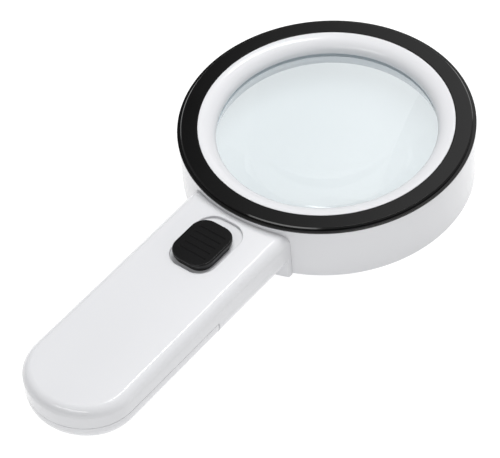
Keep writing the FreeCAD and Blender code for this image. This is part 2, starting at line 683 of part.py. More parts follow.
def handle_housing():
    """White handle shell with its collar, cell walls, door rails, switch pocket and screw posts."""
    outer = handle_body(0)
    collar = handle_body(0, low=0, lower_round=0).common(rod(COLLAR_R, (0, 0, 0), HANDLE_TOP))
    collar = rounded(collar, COLLAR_ROUND, is_collar_edge)
    cavity = handle_body(HANDLE_WALL).cut(rod(COLLAR_R, (0, 0, 0), HANDLE_TOP))
    shell = outer.fuse(collar).cut(rod(HEAD_R + SEAT_GAP, (0, 0, -1), HANDLE_TOP + 2)).cut(cavity)
    shell = shell.cut(door_space(0))

    pad = slab(POCKET_X, 0, POCKET_LENGTH + 2 * PAD_BORDER, POCKET_WIDTH + 2 * PAD_BORDER,
               POCKET_CORNER + PAD_BORDER, PAD_UNDER, HANDLE_TOP)
    pad = pad.common(handle_body(HANDLE_WALL / 2)).cut(rod(COLLAR_R - SEAT_GAP, (0, 0, 0), HANDLE_TOP))
    shell = shell.fuse(pad)
    for front in (FRONT_PLATE_X + BULKHEAD, REAR_FACE_X - PLATE_THICK):
        shell = shell.fuse(bulkhead(front))
    shell = shell.fuse(mirrored(rail()))
    for x, y, seat in base_screw_seats():
        shell = shell.fuse(rod(POST_R, (x, y, seat + BASE_THICK + SEAT_GAP), PAD_UNDER - seat - BASE_THICK))
    for x, y, seat in switch_screw_seats():
        shell = shell.fuse(rod(SWITCH_BOSS_R, (x, y, CAN_TOP + SEAT_GAP), PAD_UNDER - CAN_TOP))
    boss_start = (COLLAR_R - SEAT_GAP, 0, COLLAR_SCREW_Z)
    boss = rod(COLLAR_BOSS_R, boss_start, COLLAR_SCREW[3] - SKIRT_WALL, Vector(1, 0, 0))
    for angle in COLLAR_SCREW_ANGLES:
        shell = shell.fuse(turned(boss, angle).common(handle_body(HANDLE_WALL / 2)))

    pocket = slab(POCKET_X, 0, POCKET_LENGTH, POCKET_WIDTH, POCKET_CORNER, POCKET_FLOOR_Z, HANDLE_TOP + 1)
    shell = shell.cut(pocket)
    shell = rounded(shell, POCKET_RIM_ROUND, is_pocket_rim)
    shell = shell.cut(switch_slot()).cut(base_opening(RUN_GAP)).cut(cable_port())
    for seat in base_screw_seats():
        shell = shell.cut(screw_hole(BASE_SCREW, seat, (0, 0, 1)))
    for seat in switch_screw_seats():
        shell = shell.cut(screw_hole(SWITCH_SCREW, seat, (0, 0, 1)))
    for angle in COLLAR_SCREW_ANGLES:
        shell = shell.cut(turned(screw_hole(COLLAR_SCREW, COLLAR_SCREW_SEAT, (1, 0, 0)), angle))
    shell = shell.cut(contact_tab(RUN_GAP)).cut(door_tongue(RUN_GAP))
    return shell


def contact_tab(grow):
    """Tab of the positive contact through the front bulkhead."""
    wide = TAB_WIDE / 2 + grow
    thick = TAB_THICK / 2 + grow
    return box((FRONT_PLATE_X - grow, CELL_PITCH - wide, CELL_Z - thick),
               (FRONT_PLATE_X + BULKHEAD + TAB_REACH + grow, CELL_PITCH + wide, CELL_Z + thick))


def door_tongue(grow):
    """Tongue at the door's front edge, or the recess for it in the housing's floor."""
    return box((DOOR_FRONT - TONGUE_ROOT, -TONGUE_HALF - grow, INNER_FLOOR - TONGUE_THICK - grow),
               (DOOR_FRONT + TONGUE_REACH + grow, TONGUE_HALF + grow, INNER_FLOOR + grow))


def battery_door():
    """Lower half of the handle's rear, which slides off to the rear on two grooves."""
    door = handle_body(0).common(door_space(RUN_GAP)).cut(handle_body(HANDLE_WALL))
    door = door.cut(mirrored(rail_groove()))
    door = door.fuse(door_tongue(0))
    first = DOOR_FRONT - GRIP_SETBACK
    for index in range(GRIP_COUNT):
        start = (first - index * GRIP_PITCH, -GRIP_HALF, HANDLE_BOTTOM - GRIP_R / 2)
        door = door.cut(rod(GRIP_R, start, 2 * GRIP_HALF, Vector(0, 1, 0)))
    return door


def handle_base():
    """Fixed plate in the underside, under the switch."""
    plate = base_opening(0).common(box((BASE_X - BASE_LENGTH, -BASE_WIDTH, HANDLE_BOTTOM),
                                       (BASE_X + BASE_LENGTH, BASE_WIDTH, HANDLE_BOTTOM + BASE_THICK)))
    for seat in base_screw_seats():
        plate = plate.cut(screw_hole(BASE_SCREW, seat, (0, 0, 1), sunk=True))
    return plate


# ---------------------------------------------------------------- switch
def switch_cap():
    """Black cap: a lipped top plate with cross grooves, a narrower base and a fork for the knob."""
    plate_low = CAP_TOP - CAP_PLATE
    plate = slab(CAP_X, 0, CAP_LENGTH, CAP_WIDTH, CAP_CORNER, plate_low, CAP_TOP)
    plate = rounded(plate, CAP_ROUND, lambda b: b.ZMin > CAP_TOP - 1e-3)
    foot = slab(CAP_X, 0, CAP_LENGTH - 2 * CAP_LIP, CAP_WIDTH - 2 * CAP_LIP, CAP_CORNER - CAP_LIP,
                POCKET_FLOOR_Z + RUN_GAP, plate_low)
    cap = plate.fuse(foot)
    for index in range(RIB_COUNT):
        x = CAP_X + (index - (RIB_COUNT - 1) / 2) * RIB_PITCH
        cap = cap.cut(slab(x, 0, RIB_WIDTH, RIB_LENGTH, RIB_CORNER, CAP_TOP - RIB_DEPTH, CAP_TOP + 1))
    half = KNOB_STEM / 2 + FORK_WALL
    fork_low = CAN_TOP + 2 * RUN_GAP
    fork = box((KNOB_X - half, -FORK_WIDTH / 2, fork_low), (KNOB_X + half, FORK_WIDTH / 2, plate_low))
    lip_top = PAD_UNDER - RUN_GAP
    lip = box((KNOB_X - half, -FORK_WIDTH / 2 - FORK_LIP, lip_top - FORK_LIP_HEIGHT),
              (KNOB_X + half, FORK_WIDTH / 2 + FORK_LIP, lip_top))
    gap_half = KNOB_STEM / 2 + SEAT_GAP
    gap = box((KNOB_X - gap_half, -FORK_WIDTH, fork_low - 1),
              (KNOB_X + gap_half, FORK_WIDTH, CAN_TOP + KNOB_RISE + SEAT_GAP))
    return cap.fuse(fork).fuse(lip).cut(gap)


def switch_frame():
    """Steel can of the slide switch, with two screwed ears and a slot for the knob."""
    half = CAN_LENGTH / 2
    side = CAN_WIDTH / 2
    can = box((SWITCH_X - half, -side, CAN_BOTTOM), (SWITCH_X + half, side, CAN_TOP))
    can = can.cut(box((SWITCH_X - half + CAN_WALL, -side + CAN_WALL, CAN_BOTTOM - 1),
                      (SWITCH_X + half - CAN_WALL, side - CAN_WALL, CAN_TOP - CAN_WALL)))
    ears = slab(SWITCH_X, 0, 2 * EAR_REACH, CAN_WIDTH, EAR_CORNER, CAN_TOP - CAN_WALL, CAN_TOP)
    frame = can.fuse(ears)
    room = KNOB_STEM / 2 + RUN_GAP
    frame = frame.cut(box((KNOB_X - room, -room, CAN_TOP - 1),
                          (KNOB_X + SWITCH_TRAVEL + room, room, CAN_TOP + 1)))
    for seat in switch_screw_seats():
        frame = frame.cut(screw_hole(SWITCH_SCREW, seat, (0, 0, 1)))
    return frame


def terminal_x(index):
    """Place of a switch terminal along the handle."""
    return SWITCH_X + (index - 1) * TERMINAL_PITCH


def terminal(index, grow):
    """One terminal pin, or the hole that it passes through."""
    thick, wide = TERMINAL_SIZE
    x = terminal_x(index)
    return box((x - wide / 2 - grow, -thick / 2 - grow, TERMINAL_LOW),
               (x + wide / 2 + grow, thick / 2 + grow, CAN_BOTTOM + BASE_SHEET + SEAT_GAP))


def switch_base():
    """Insulating plate that closes the can."""
    half = CAN_LENGTH / 2 - CAN_WALL - SEAT_GAP
    side = CAN_WIDTH / 2 - CAN_WALL - SEAT_GAP
    plate = box((SWITCH_X - half, -side, CAN_BOTTOM), (SWITCH_X + half, side, CAN_BOTTOM + BASE_SHEET))
    for index in range(3):
        plate = plate.cut(terminal(index, SCREW_GAP))
    return plate


def switch_knob():
    """Knob with a broad foot inside the can."""
    stem = KNOB_STEM / 2
    foot_low = CAN_BOTTOM + BASE_SHEET + KNOB_FOOT_LIFT
    foot_high = CAN_TOP - CAN_WALL - SEAT_GAP
    side = CAN_WIDTH / 2 - CAN_WALL - RUN_GAP
    reach = KNOB_FOOT_LENGTH / 2
    foot = box((KNOB_X - reach, -side, foot_low), (KNOB_X + reach, side, foot_high))
    return foot.fuse(box((KNOB_X - stem, -stem, foot_low), (KNOB_X + stem, stem, CAN_TOP + KNOB_RISE)))


def switch_wiper():
    """Contact strip under the knob."""
    low = CAN_BOTTOM + BASE_SHEET + 2 * SEAT_GAP
    reach = KNOB_FOOT_LENGTH / 2
    return box((KNOB_X - reach, -WIPER_HALF, low), (KNOB_X + reach, WIPER_HALF, low + WIPER_THICK))


# ---------------------------------------------------------------- cells and contacts
def cell_y(index):
    """Place of a cell across the handle."""
    return (1 - index) * CELL_PITCH


def battery(index):
    """AA cell: the outer two point forwards and the middle one points back."""
    forward = index != 1
    nub_gap = BUTTON_HEIGHT + SEAT_GAP
    nub_tip = FRONT_FACE_X - nub_gap if forward else REAR_FACE_X + nub_gap
    way = Vector(-1, 0, 0) if forward else Vector(1, 0, 0)
    start = Vector(nub_tip, cell_y(index), CELL_Z)
    nub = Part.makeCylinder(CELL_NUB_R, 2 * CELL_NUB, start, way)
    body = Part.makeCylinder(CELL_R, CELL_BODY, start + way * CELL_NUB, way)
    body = rounded(body, CELL_ROUND, lambda b: b.XLength < 1e-3)
    return body.fuse(nub)


def plate(face_x, inward, low_y, high_y):
    """Contact plate standing on a bulkhead; inward is +1 or -1 towards the cells."""
    back = face_x - inward * PLATE_THICK
    low = (min(face_x, back), low_y, CELL_Z - PLATE_HALF)
    return box(low, (max(face_x, back), high_y, CELL_Z + PLATE_HALF))


def button(face_x, inward, index):
    """Raised button that meets a cell's nub."""
    start = Vector(face_x - inward * SEAT_GAP, cell_y(index), CELL_Z)
    tip_r = BUTTON_R * BUTTON_TAPER
    return Part.makeCone(BUTTON_R, tip_r, BUTTON_HEIGHT + SEAT_GAP, start, Vector(inward, 0, 0))


def contact_positive():
    """Front plate of the first cell, with a soldering tab through the bulkhead."""
    body = plate(FRONT_FACE_X, -1, cell_y(0) - PLATE_HALF, cell_y(0) + PLATE_HALF)
    return body.fuse(button(FRONT_FACE_X, -1, 0)).fuse(contact_tab(0))


def contact_bridge_front():
    """Front plate across the second and third cells."""
    body = plate(FRONT_FACE_X, -1, cell_y(2) - PLATE_HALF, cell_y(1) + PLATE_HALF)
    return body.fuse(button(FRONT_FACE_X, -1, 2))


def contact_bridge_rear():
    """Rear plate across the first and second cells."""
    body = plate(REAR_FACE_X, 1, cell_y(1) - PLATE_HALF, cell_y(0) + PLATE_HALF)
    return body.fuse(button(REAR_FACE_X, 1, 1))


def contact_negative():
    """Rear plate of the third cell, with a soldering tab above it."""
    body = plate(REAR_FACE_X, 1, cell_y(2) - PLATE_HALF, cell_y(2) + PLATE_HALF)
    lead_y = -CELL_PITCH / 2
    tab = box((REAR_FACE_X - PLATE_THICK, cell_y(2), CELL_Z + PLATE_HALF - TAB_ROOT),
              (REAR_FACE_X, lead_y + TAB_ROOT, CELL_Z + PLATE_HALF + TAB_REACH))
    return body.fuse(tab)


def spring(index):
    """Coil spring at a cell's flat end."""
    height = SPRING_LENGTH - 2 * SPRING_WIRE_R - 2 * SEAT_GAP
    steps = round(height / SPRING_PITCH * SPRING_STEPS)
    points = []
    for step in range(steps + 1):
        angle = 2 * math.pi * step / SPRING_STEPS
        along = height * step / steps
        points.append(Vector(SPRING_R * math.cos(angle), SPRING_R * math.sin(angle), along))
    line = Part.BSplineCurve()
    line.interpolate(points)
    section = Part.Circle(points[0], line.tangent(line.FirstParameter)[0], SPRING_WIRE_R)
    body = Part.Wire([line.toShape()]).makePipeShell([Part.Wire([section.toShape()])], True, True)
    body.rotate(Vector(0, 0, 0), Vector(0, 1, 0), 90)
    at_front = index == 1
    face = FRONT_FACE_X - SPRING_LENGTH if at_front else REAR_FACE_X
    body.translate(Vector(face + SPRING_WIRE_R + SEAT_GAP, cell_y(index), CELL_Z))
    return body


# ---------------------------------------------------------------- leads
def lead_into_head(side):
    """Last stretch of a lead: through the port and down to the lamp board."""
    return [(-COLLAR_R - LEAD_START, side * LEAD_Y, LEAD_Z), (BOARD_PAD_X, side * LEAD_Y, LEAD_Z),
            (BOARD_PAD_X, side * LEAD_Y, BOARD_TOP + SCREW_GAP)]


def wire_positive():
    """Lead from the positive contact to the switch's rear terminal."""
    start_x = FRONT_PLATE_X + BULKHEAD + TAB_REACH + SCREW_GAP
    end_x = terminal_x(0) - TERMINAL_SIZE[1] / 2 - SCREW_GAP
    low = TERMINAL_LOW + WIRE_R
    bend_x = start_x + LEAD_START + 1
    return route([(start_x, CELL_PITCH, CELL_Z), (bend_x - 1, CELL_PITCH, CELL_Z),
                  (bend_x, LEAD_START, low + 1), (bend_x + LEAD_SLOPE, 0, low), (end_x, 0, low)], WIRE_R)


def wire_feed():
    """Lead from the switch's front terminal to the lamp board."""
    start_x = terminal_x(2) + TERMINAL_SIZE[1] / 2 + SCREW_GAP
    low = TERMINAL_LOW + WIRE_R
    bend_x = start_x + LEAD_START + 1
    return route([(start_x, 0, low), (bend_x, 0, low), (bend_x + LEAD_RISE, LEAD_Y, low + LEAD_RISE)]
                 + lead_into_head(1), WIRE_R)


def wire_negative():
    """Lead from the rear contact, over the valley between two cells, to the lamp board."""
    over_y = -CELL_PITCH / 2
    over_z = CELL_Z + PLATE_HALF + 2 * WIRE_R - SEAT_GAP
    pass_y = -CAN_WIDTH / 2 - 3 * WIRE_R
    down_x = DOOR_FRONT + 1
    return route([(REAR_FACE_X + SCREW_GAP, over_y, over_z), (down_x, over_y, over_z),
                  (down_x + LEAD_SLOPE, pass_y, CAN_BOTTOM), (SWITCH_X + CAN_LENGTH / 2, pass_y, CAN_BOTTOM)]
                 + lead_into_head(-1), WIRE_R)


# ---------------------------------------------------------------- assembly
def screw_set(spec, seats, direction, sunk=False):
    """Identical screws as one group of separate solids."""
    return Part.makeCompound([screw(spec, seat, direction, sunk) for seat in seats])


def turned_set(body, angles):
    """One shape repeated about the lens axis, as separate solids."""
    return Part.makeCompound([turned(body, angle) for angle in angles])


def build():
    """Every node by name."""
    nodes = {
        "head_housing": head_housing(),
        "lens_carrier": lens_carrier(),
        "led_cover": led_cover(),
        "led_board": led_board(),
        "lens": lens(),
        "lens_bezel": lens_bezel(),
        "trim_ring": trim_ring(),
        "handle_housing": handle_housing(),
        "handle_base": handle_base(),
        "battery_door": battery_door(),
        "switch_cap": switch_cap(),
        "switch_frame": switch_frame(),
        "switch_base": switch_base(),
        "switch_knob": switch_knob(),
        "switch_wiper": switch_wiper(),
        "switch_terminals": Part.makeCompound([terminal(index, 0) for index in range(3)]),
        "contact_positive": contact_positive(),
        "contact_bridge_front": contact_bridge_front(),
        "contact_bridge_rear": contact_bridge_rear(),
        "contact_negative": contact_negative(),
        "wire_positive": wire_positive(),
        "wire_feed": wire_feed(),
        "wire_negative": wire_negative(),
        "base_screws": screw_set(BASE_SCREW, base_screw_seats(), (0, 0, 1), sunk=True),
        "switch_screws": screw_set(SWITCH_SCREW, switch_screw_seats(), (0, 0, 1)),
    }
    cover_screw = screw(COVER_SCREW, (LED_CIRCLE_R, 0, COVER_BOTTOM), (0, 0, 1), sunk=True)
    bezel_screw = screw(BEZEL_SCREW, (BEZEL_SCREW_CIRCLE_R, 0, FLANGE_TOP), (0, 0, -1))
    collar_screw = screw(COLLAR_SCREW, COLLAR_SCREW_SEAT, (1, 0, 0))
    nodes["cover_screws"] = turned_set(cover_screw, COVER_SCREW_ANGLES)
    nodes["bezel_screws"] = turned_set(bezel_screw, BEZEL_SCREW_ANGLES)
    nodes["collar_screws"] = turned_set(collar_screw, COLLAR_SCREW_ANGLES)
    for index in range(LED_COUNT):
        nodes["led_%d" % (index + 1)] = led(index)
    for index, angle in enumerate(RESISTOR_ANGLES):
        nodes["resistor_%d" % (index + 1)] = resistor(angle)
    for index in range(3):
        nodes["battery_%d" % (index + 1)] = battery(index)
        nodes["spring_%d" % (index + 1)] = spring(index)
    return nodes


os.makedirs("parts", exist_ok=True)
for name, shape in build().items():
    whole = shape.removeSplitter() if len(shape.Solids) == 1 else shape
    whole.exportStep("parts/%s.step" % name)
    box_now = whole.BoundBox
    print("%-22s solids %d  valid %s  volume %9.1f  x %.1f..%.1f  y %.1f..%.1f  z %.1f..%.1f" % (
        name, len(whole.Solids), whole.isValid(), whole.Volume,
        box_now.XMin, box_now.XMax, box_now.YMin, box_now.YMax, box_now.ZMin, box_now.ZMax))
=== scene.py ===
# %% [markdown]
# # A lighted hand magnifier
# The lesson dresses a finished engineering model: every size, place and joint is already fixed, and this
# script gives each visible piece its shape in fine detail and its finish. The first lines load that model,
# which the rest calls the frame. Everything is in metres, with the lens's axis on Z.

# %% Load the frame
import math

import bmesh
import bpy
from mathutils import Matrix, Quaternion, Vector


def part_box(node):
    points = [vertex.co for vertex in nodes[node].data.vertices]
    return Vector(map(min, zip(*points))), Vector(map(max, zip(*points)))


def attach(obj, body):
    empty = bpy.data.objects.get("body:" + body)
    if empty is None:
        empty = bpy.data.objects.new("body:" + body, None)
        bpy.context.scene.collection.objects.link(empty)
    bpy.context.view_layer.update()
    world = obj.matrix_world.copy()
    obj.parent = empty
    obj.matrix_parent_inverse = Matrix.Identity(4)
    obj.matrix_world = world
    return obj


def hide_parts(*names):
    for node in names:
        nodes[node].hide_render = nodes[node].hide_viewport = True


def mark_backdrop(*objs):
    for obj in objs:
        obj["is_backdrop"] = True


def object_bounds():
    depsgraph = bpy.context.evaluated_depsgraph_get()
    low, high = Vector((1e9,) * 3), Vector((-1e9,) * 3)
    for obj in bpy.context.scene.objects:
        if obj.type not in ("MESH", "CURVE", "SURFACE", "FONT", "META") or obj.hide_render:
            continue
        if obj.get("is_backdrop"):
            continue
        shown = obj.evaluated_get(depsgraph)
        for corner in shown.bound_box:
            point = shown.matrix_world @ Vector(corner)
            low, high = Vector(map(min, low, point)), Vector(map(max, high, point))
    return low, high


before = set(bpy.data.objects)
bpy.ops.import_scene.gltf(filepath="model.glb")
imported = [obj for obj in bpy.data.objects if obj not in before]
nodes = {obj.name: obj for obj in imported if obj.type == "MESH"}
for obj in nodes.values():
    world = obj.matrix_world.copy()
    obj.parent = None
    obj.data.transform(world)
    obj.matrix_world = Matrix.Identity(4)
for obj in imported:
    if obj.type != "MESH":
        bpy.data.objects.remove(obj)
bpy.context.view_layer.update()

MM = 0.001

# %% [markdown]
# Round pieces are measured by radius, so this small helper reads a node's least and greatest distance from
# the lens's axis, and its lowest and highest level. Sizes taken this way follow the model if it changes.


# %% Measure round pieces
def measure(node):
    """Least radius, greatest radius, lowest and highest level of a round node."""
    spots = [v.co for v in nodes[node].data.vertices]
    radii = [math.hypot(p.x, p.y) for p in spots]
    low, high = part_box(node)
    return min(radii), max(radii), low.z, high.z


trim_in, trim_out, trim_low, trim_top = measure("trim_ring")
skirt_ledge, skirt_out, skirt_low, skirt_top = measure("head_housing")
bezel_in, bezel_out, bezel_low, bezel_top = measure("lens_bezel")
lens_out, lens_low, lens_high = measure("lens")[1:]
print("head radius %.1f mm, lens radius %.1f mm" % (skirt_out / MM, lens_out / MM))

# %% [markdown]
# ## The view
# A long lens from a metre away keeps the round head nearly undistorted.
# The camera stands to the left of the handle, half way up, and is tipped a little to one side.

# %% Camera
AZIMUTH = math.radians(-47.48)
ELEVATION = math.radians(47.313)
ROLL = math.radians(-5.783)
AIM = Vector((-49.73, 5.57, 0.0)) * MM
DISTANCE = 1.0483
back = Vector((math.sin(AZIMUTH) * math.cos(ELEVATION), -math.cos(AZIMUTH) * math.cos(ELEVATION),
               math.sin(ELEVATION)))
camera = bpy.data.objects.new("camera", bpy.data.cameras.new("camera"))
bpy.context.scene.collection.objects.link(camera)
camera.location = AIM + back * DISTANCE
camera.rotation_mode = "QUATERNION"
camera.rotation_quaternion = back.to_track_quat("Z", "Y") @ Quaternion((0, 0, 1), ROLL)
camera.data.sensor_width = 36.0
camera.data.lens = 173.54
camera.data.clip_start = 0.05
camera.data.clip_end = 20.0
bpy.context.scene.camera = camera
print("camera at", tuple(round(c, 3) for c in camera.location))

# %% [markdown]
# ## Nodes as sums
# Patterns are arithmetic. One class wraps a socket, so that `1 - mask * 0.5` adds its own Math nodes, and a
# second one adds any other node from its type, its settings and the values of its sockets. Both serve
# materials and Geometry Nodes alike, which keeps each finish below to a few readable lines.


# %% Node helpers
class Wire:
    """A node's output that can be used in a sum."""

    def __init__(self, net, socket):
        self.net = net
        self.socket = socket

    def math(self, operation, first, second=0.5):
        return self.net.add("ShaderNodeMath", {"operation": operation}, {0: first, 1: second})

    def __add__(self, other):
        return self.math("ADD", self, other)

    def __sub__(self, other):
        return self.math("SUBTRACT", self, other)

    def __rsub__(self, other):
        return self.math("SUBTRACT", other, self)

    def __mul__(self, other):
        return self.math("MULTIPLY", self, other)

    def __truediv__(self, other):
        return self.math("DIVIDE", self, other)

    def __gt__(self, other):
        return self.math("GREATER_THAN", self, other)

    def __lt__(self, other):
        return self.math("LESS_THAN", self, other)

    __radd__ = __add__
    __rmul__ = __mul__


class Net:
    """A node tree that nodes are added to in one line each."""

    def __init__(self, tree):
        self.tree = tree

    def add(self, kind, settings=None, links=None, out=0):
        node = self.tree.nodes.new(kind)
        for key, value in (settings or {}).items():
            if key == "stops":
                fill_ramp(node.color_ramp, value)
            else:
                setattr(node, key, value)
        for key, value in (links or {}).items():
            self.join(node.inputs[key], value)
        return Wire(self, node.outputs[out]) if len(node.outputs) else node

    def join(self, socket, value):
        if isinstance(value, list):
            for each in value:
                self.join(socket, each)
        elif isinstance(value, Wire):
            self.tree.links.new(value.socket, socket)
        else:
            socket.default_value = value


def fill_ramp(ramp, stops):
    """Stops of (place, grey or colour)."""
    while len(ramp.elements) < len(stops):
        ramp.elements.new(0.5)
    for element, (place, colour) in zip(ramp.elements, stops):
        grey = isinstance(colour, (int, float))
        element.position = place
        element.color = (colour, colour, colour, 1) if grey else (*colour, 1)


print("node helpers ready")

# %% [markdown]
# ## A finish to build on
# Every finish starts from one Principled shader and ends in its surface. `Finish` holds the material and
# gives the patterns that moulded and metal surfaces share: a cloud of any grain, and a normal that rounds
# sharp edges by a tenth of a millimetre, because no moulded edge is truly sharp.


# %% Finish helper
class Finish(Net):
    """A material with its Principled shader, read in the piece's own coordinates."""

    def __init__(self, name, **constants):
        self.material = bpy.data.materials.new(name)
        self.material.use_nodes = True
        super().__init__(self.material.node_tree)
        self.shader = self.tree.nodes["Principled BSDF"]
        self.where = self.add("ShaderNodeTexCoord", out=3)
        for key, value in constants.items():
            self.shader.inputs[key.replace("_", " ")].default_value = value

    def cloud(self, grains, detail=2.0, stretch=(1, 1, 1)):
        """Soft noise with so many grains to the metre."""
        place = self.add("ShaderNodeMapping", links={0: self.where, "Scale": stretch})
        return self.add("ShaderNodeTexNoise", links={"Vector": place, "Scale": grains, "Detail": detail})

    def between(self, share, first, second):
        """A colour part of the way from one to the other."""
        return self.add("ShaderNodeMix", {"data_type": "RGBA"},
                        {0: share, 6: (*first, 1) if isinstance(first, tuple) else first,
                         7: (*second, 1) if isinstance(second, tuple) else second}, out=2)

    def relief(self, height, depth, edge=0.0, strength=1.0):
        """Normal of a fine relief, over edges rounded by a radius."""
        links = {"Height": height, "Distance": depth, "Strength": strength}
        if edge:
            links["Normal"] = self.add("ShaderNodeBevel", {"samples": 4}, {"Radius": edge})
        return self.add("ShaderNodeBump", links=links)

    def set(self, **values):
        """Feed sockets of the shader."""
        for key, value in values.items():
            self.join(self.shader.inputs[key.replace("_", " ")], value)
        return self


print("finish helper ready")

# %% [markdown]
# ## White moulding
# The head and the handle are injection-moulded in white ABS. It is smooth but not mirror-like: highlights
# are crisp and slightly broken by a faint orange peel, and the gloss drifts a little from place to place.
# Noise at two grains does this. Image textures would need a map for each shell, and this needs none.


# %% White plastic
def moulded_white(name, tone, gloss=0.10, edge=0.00012):
    """White ABS: a slow drift of tone and gloss, and a fine orange peel."""
    white = Finish(name, IOR=1.49, Coat_Roughness=0.06)
    drift = white.cloud(22, 3)
    peel = white.cloud(1500, 2)
    dull = tuple(c * 0.965 for c in tone)
    white.set(Base_Color=white.between(drift, dull, tone),
              Roughness=gloss + drift * 0.07 + peel * 0.03,
              Coat_Weight=0.15 + drift * 0.2,
              Normal=white.relief(peel, 0.000012, edge))
    return white.material


shell_white = moulded_white("shell_white", (0.735, 0.74, 0.76))
print("finish:", shell_white.name)

# %% [markdown]
# ## Black gloss
# The trim ring and the switch cap are polished black. A near-black base leaves almost only the reflections,
# so what makes it look real is how they break up: a little haze from handling, and hairlines too fine to
# see one by one.


# %% Black plastic
def polished_black(name, tone=0.0025, gloss=0.05, bend=1.45):
    """Polished black with handling haze and hairlines."""
    black = Finish(name, IOR=bend, Coat_Roughness=0.03)
    haze = black.cloud(60, 4)
    hairs = black.cloud(900, 3, (1, 0.06, 1))
    black.set(Base_Color=black.between(haze, (tone, tone, tone), (tone * 1.3, tone * 1.3, tone * 1.4)),
              Roughness=gloss + haze * 0.08 + hairs * 0.03,
              Coat_Weight=0.05 + haze * 0.1,
              Normal=black.relief(hairs, 0.000003, 0.00008))
    return black.material


gloss_black = polished_black("gloss_black")
cap_black = polished_black("cap_black", 0.006, 0.10, 1.33)
print("finishes:", gloss_black.name, "and", cap_black.name)

# %% [markdown]
# ## Glass
# A reading lens is ground from clear optical glass with a breath of green-blue. Light that falls through it
# would need many samples to be found by chance, so shadow rays and light scattered off the page pass straight
# through a tinted Transparent shader. Everything that is seen through the lens is bent by the real one.
# Letting the scattered light use both ways would count it twice and burn out the page.


# %% Lens glass
def optical_glass(name, tint):
    """Clear glass that lights the page below it."""
    glass = Finish(name, IOR=1.5, Transmission_Weight=1.0)
    smear = glass.cloud(45, 4, (1, 0.5, 1))
    glass.set(Base_Color=glass.between(smear, tuple(c * 0.985 for c in tint), tint), Roughness=smear * 0.012)
    once = tuple(c ** 0.5 for c in tint)
    pane = glass.add("ShaderNodeBsdfTransparent", links={"Color": (*once, 1)})
    shadow = glass.add("ShaderNodeLightPath", out="Is Shadow Ray")
    scattered = Wire(glass, shadow.socket.node.outputs["Is Diffuse Ray"])
    seen = Wire(glass, glass.shader.outputs[0])
    straight = shadow.math("MAXIMUM", shadow, scattered)
    mixed = glass.add("ShaderNodeMixShader", links={0: straight, 1: seen, 2: pane})
    glass.join(glass.tree.nodes["Material Output"].inputs[0], mixed)
    return glass.material


lens_glass = optical_glass("lens_glass", (0.86, 0.915, 0.935))
print("finish:", lens_glass.name)

# %% [markdown]
# ## Small finishes for the inside
# The cells, contacts, leads and board show when the battery door is off or when the head is turned over.
# Metals get a drift in roughness and fine brushing, insulation a soft sheen, and the board a faint weave.


# %% Metal, insulation and board
def plated(name, colour, rough=0.24, grain=(1, 1, 1)):
    """Plated metal with a cloudy drift and fine brushing."""
    metal = Finish(name, Metallic=1.0)
    cloud = metal.cloud(160, 3)
    brush = metal.cloud(1800, 2, grain)
    metal.set(Base_Color=metal.between(cloud, tuple(c * 0.86 for c in colour), colour),
              Roughness=rough + cloud * 0.14 + brush * 0.06,
              Normal=metal.relief(brush, 0.000004, 0.00005))
    return metal.material


def insulation(name, colour):
    """Soft insulation with a faint drawn texture."""
    sleeve = Finish(name, IOR=1.46)
    drawn = sleeve.cloud(900, 2, (0.2, 1, 1))
    sleeve.set(Base_Color=sleeve.between(drawn, tuple(c * 0.8 for c in colour), colour),
               Roughness=0.38 + drawn * 0.15, Normal=sleeve.relief(drawn, 0.00001))
    return sleeve.material


def circuit_board(name):
    """White solder resist over a faint glass weave."""
    board = Finish(name, IOR=1.5)
    weave = board.add("ShaderNodeTexVoronoi", {"distance": "CHEBYCHEV"},
                      {"Vector": board.where, "Scale": 1200})
    mottle = board.cloud(90, 3)
    board.set(Base_Color=board.between(mottle, (0.62, 0.66, 0.60), (0.70, 0.73, 0.68)),
              Roughness=0.34 + mottle * 0.1, Normal=board.relief(weave, 0.000006))
    return board.material


def plain_moulding(name, colour, rough=0.45):
    """Small dull moulding with a fine grain."""
    part = Finish(name, IOR=1.48)
    grain = part.cloud(1300, 3)
    part.set(Base_Color=part.between(grain, tuple(c * 0.8 for c in colour), colour),
             Roughness=rough + grain * 0.12, Normal=part.relief(grain, 0.00001, 0.00006))
    return part.material


nickel = plated("nickel_plate", (0.74, 0.72, 0.66))
zinc = plated("zinc_plate", (0.60, 0.61, 0.63), 0.3)
brass = plated("tinned_brass", (0.76, 0.58, 0.30), 0.3)
red_lead = insulation("red_insulation", (0.46, 0.02, 0.02))
black_lead = insulation("black_insulation", (0.02, 0.02, 0.022))
white_board = circuit_board("white_board")
phenolic = plain_moulding("phenolic_sheet", (0.25, 0.13, 0.06), 0.5)
knob_black = plain_moulding("knob_black", (0.025, 0.025, 0.027))
chip_black = plain_moulding("chip_black", (0.03, 0.03, 0.032), 0.55)
print("finishes for the inside:", len(bpy.data.materials))

# %% [markdown]
# ## Pieces that keep the model's shape
# Where the model's own mesh is right, only its finish changes. The finish goes on the object's slot, so the
# mesh itself stays as it is.


# %% Dress the inner pieces
def dress(node, finish):
    """Give a node of the frame a finish, and leave its mesh alone."""
    for slot in nodes[node].material_slots:
        slot.link = "OBJECT"
        slot.material = finish


inside = {
    "switch_frame": zinc, "switch_screws": zinc, "collar_screws": zinc, "switch_base": phenolic,
    "switch_terminals": brass, "switch_wiper": brass, "switch_knob": knob_black,
    "contact_positive": nickel, "contact_negative": nickel, "contact_bridge_front": nickel,
    "contact_bridge_rear": nickel, "spring_1": nickel, "spring_2": nickel, "spring_3": nickel,
    "wire_positive": red_lead, "wire_feed": red_lead, "wire_negative": black_lead,
    "led_board": white_board,
}
for node, finish in inside.items():
    dress(node, finish)
for number in range(1, 5):
    dress("resistor_%d" % number, chip_black)
print("dressed", len(inside) + 4, "inner nodes")

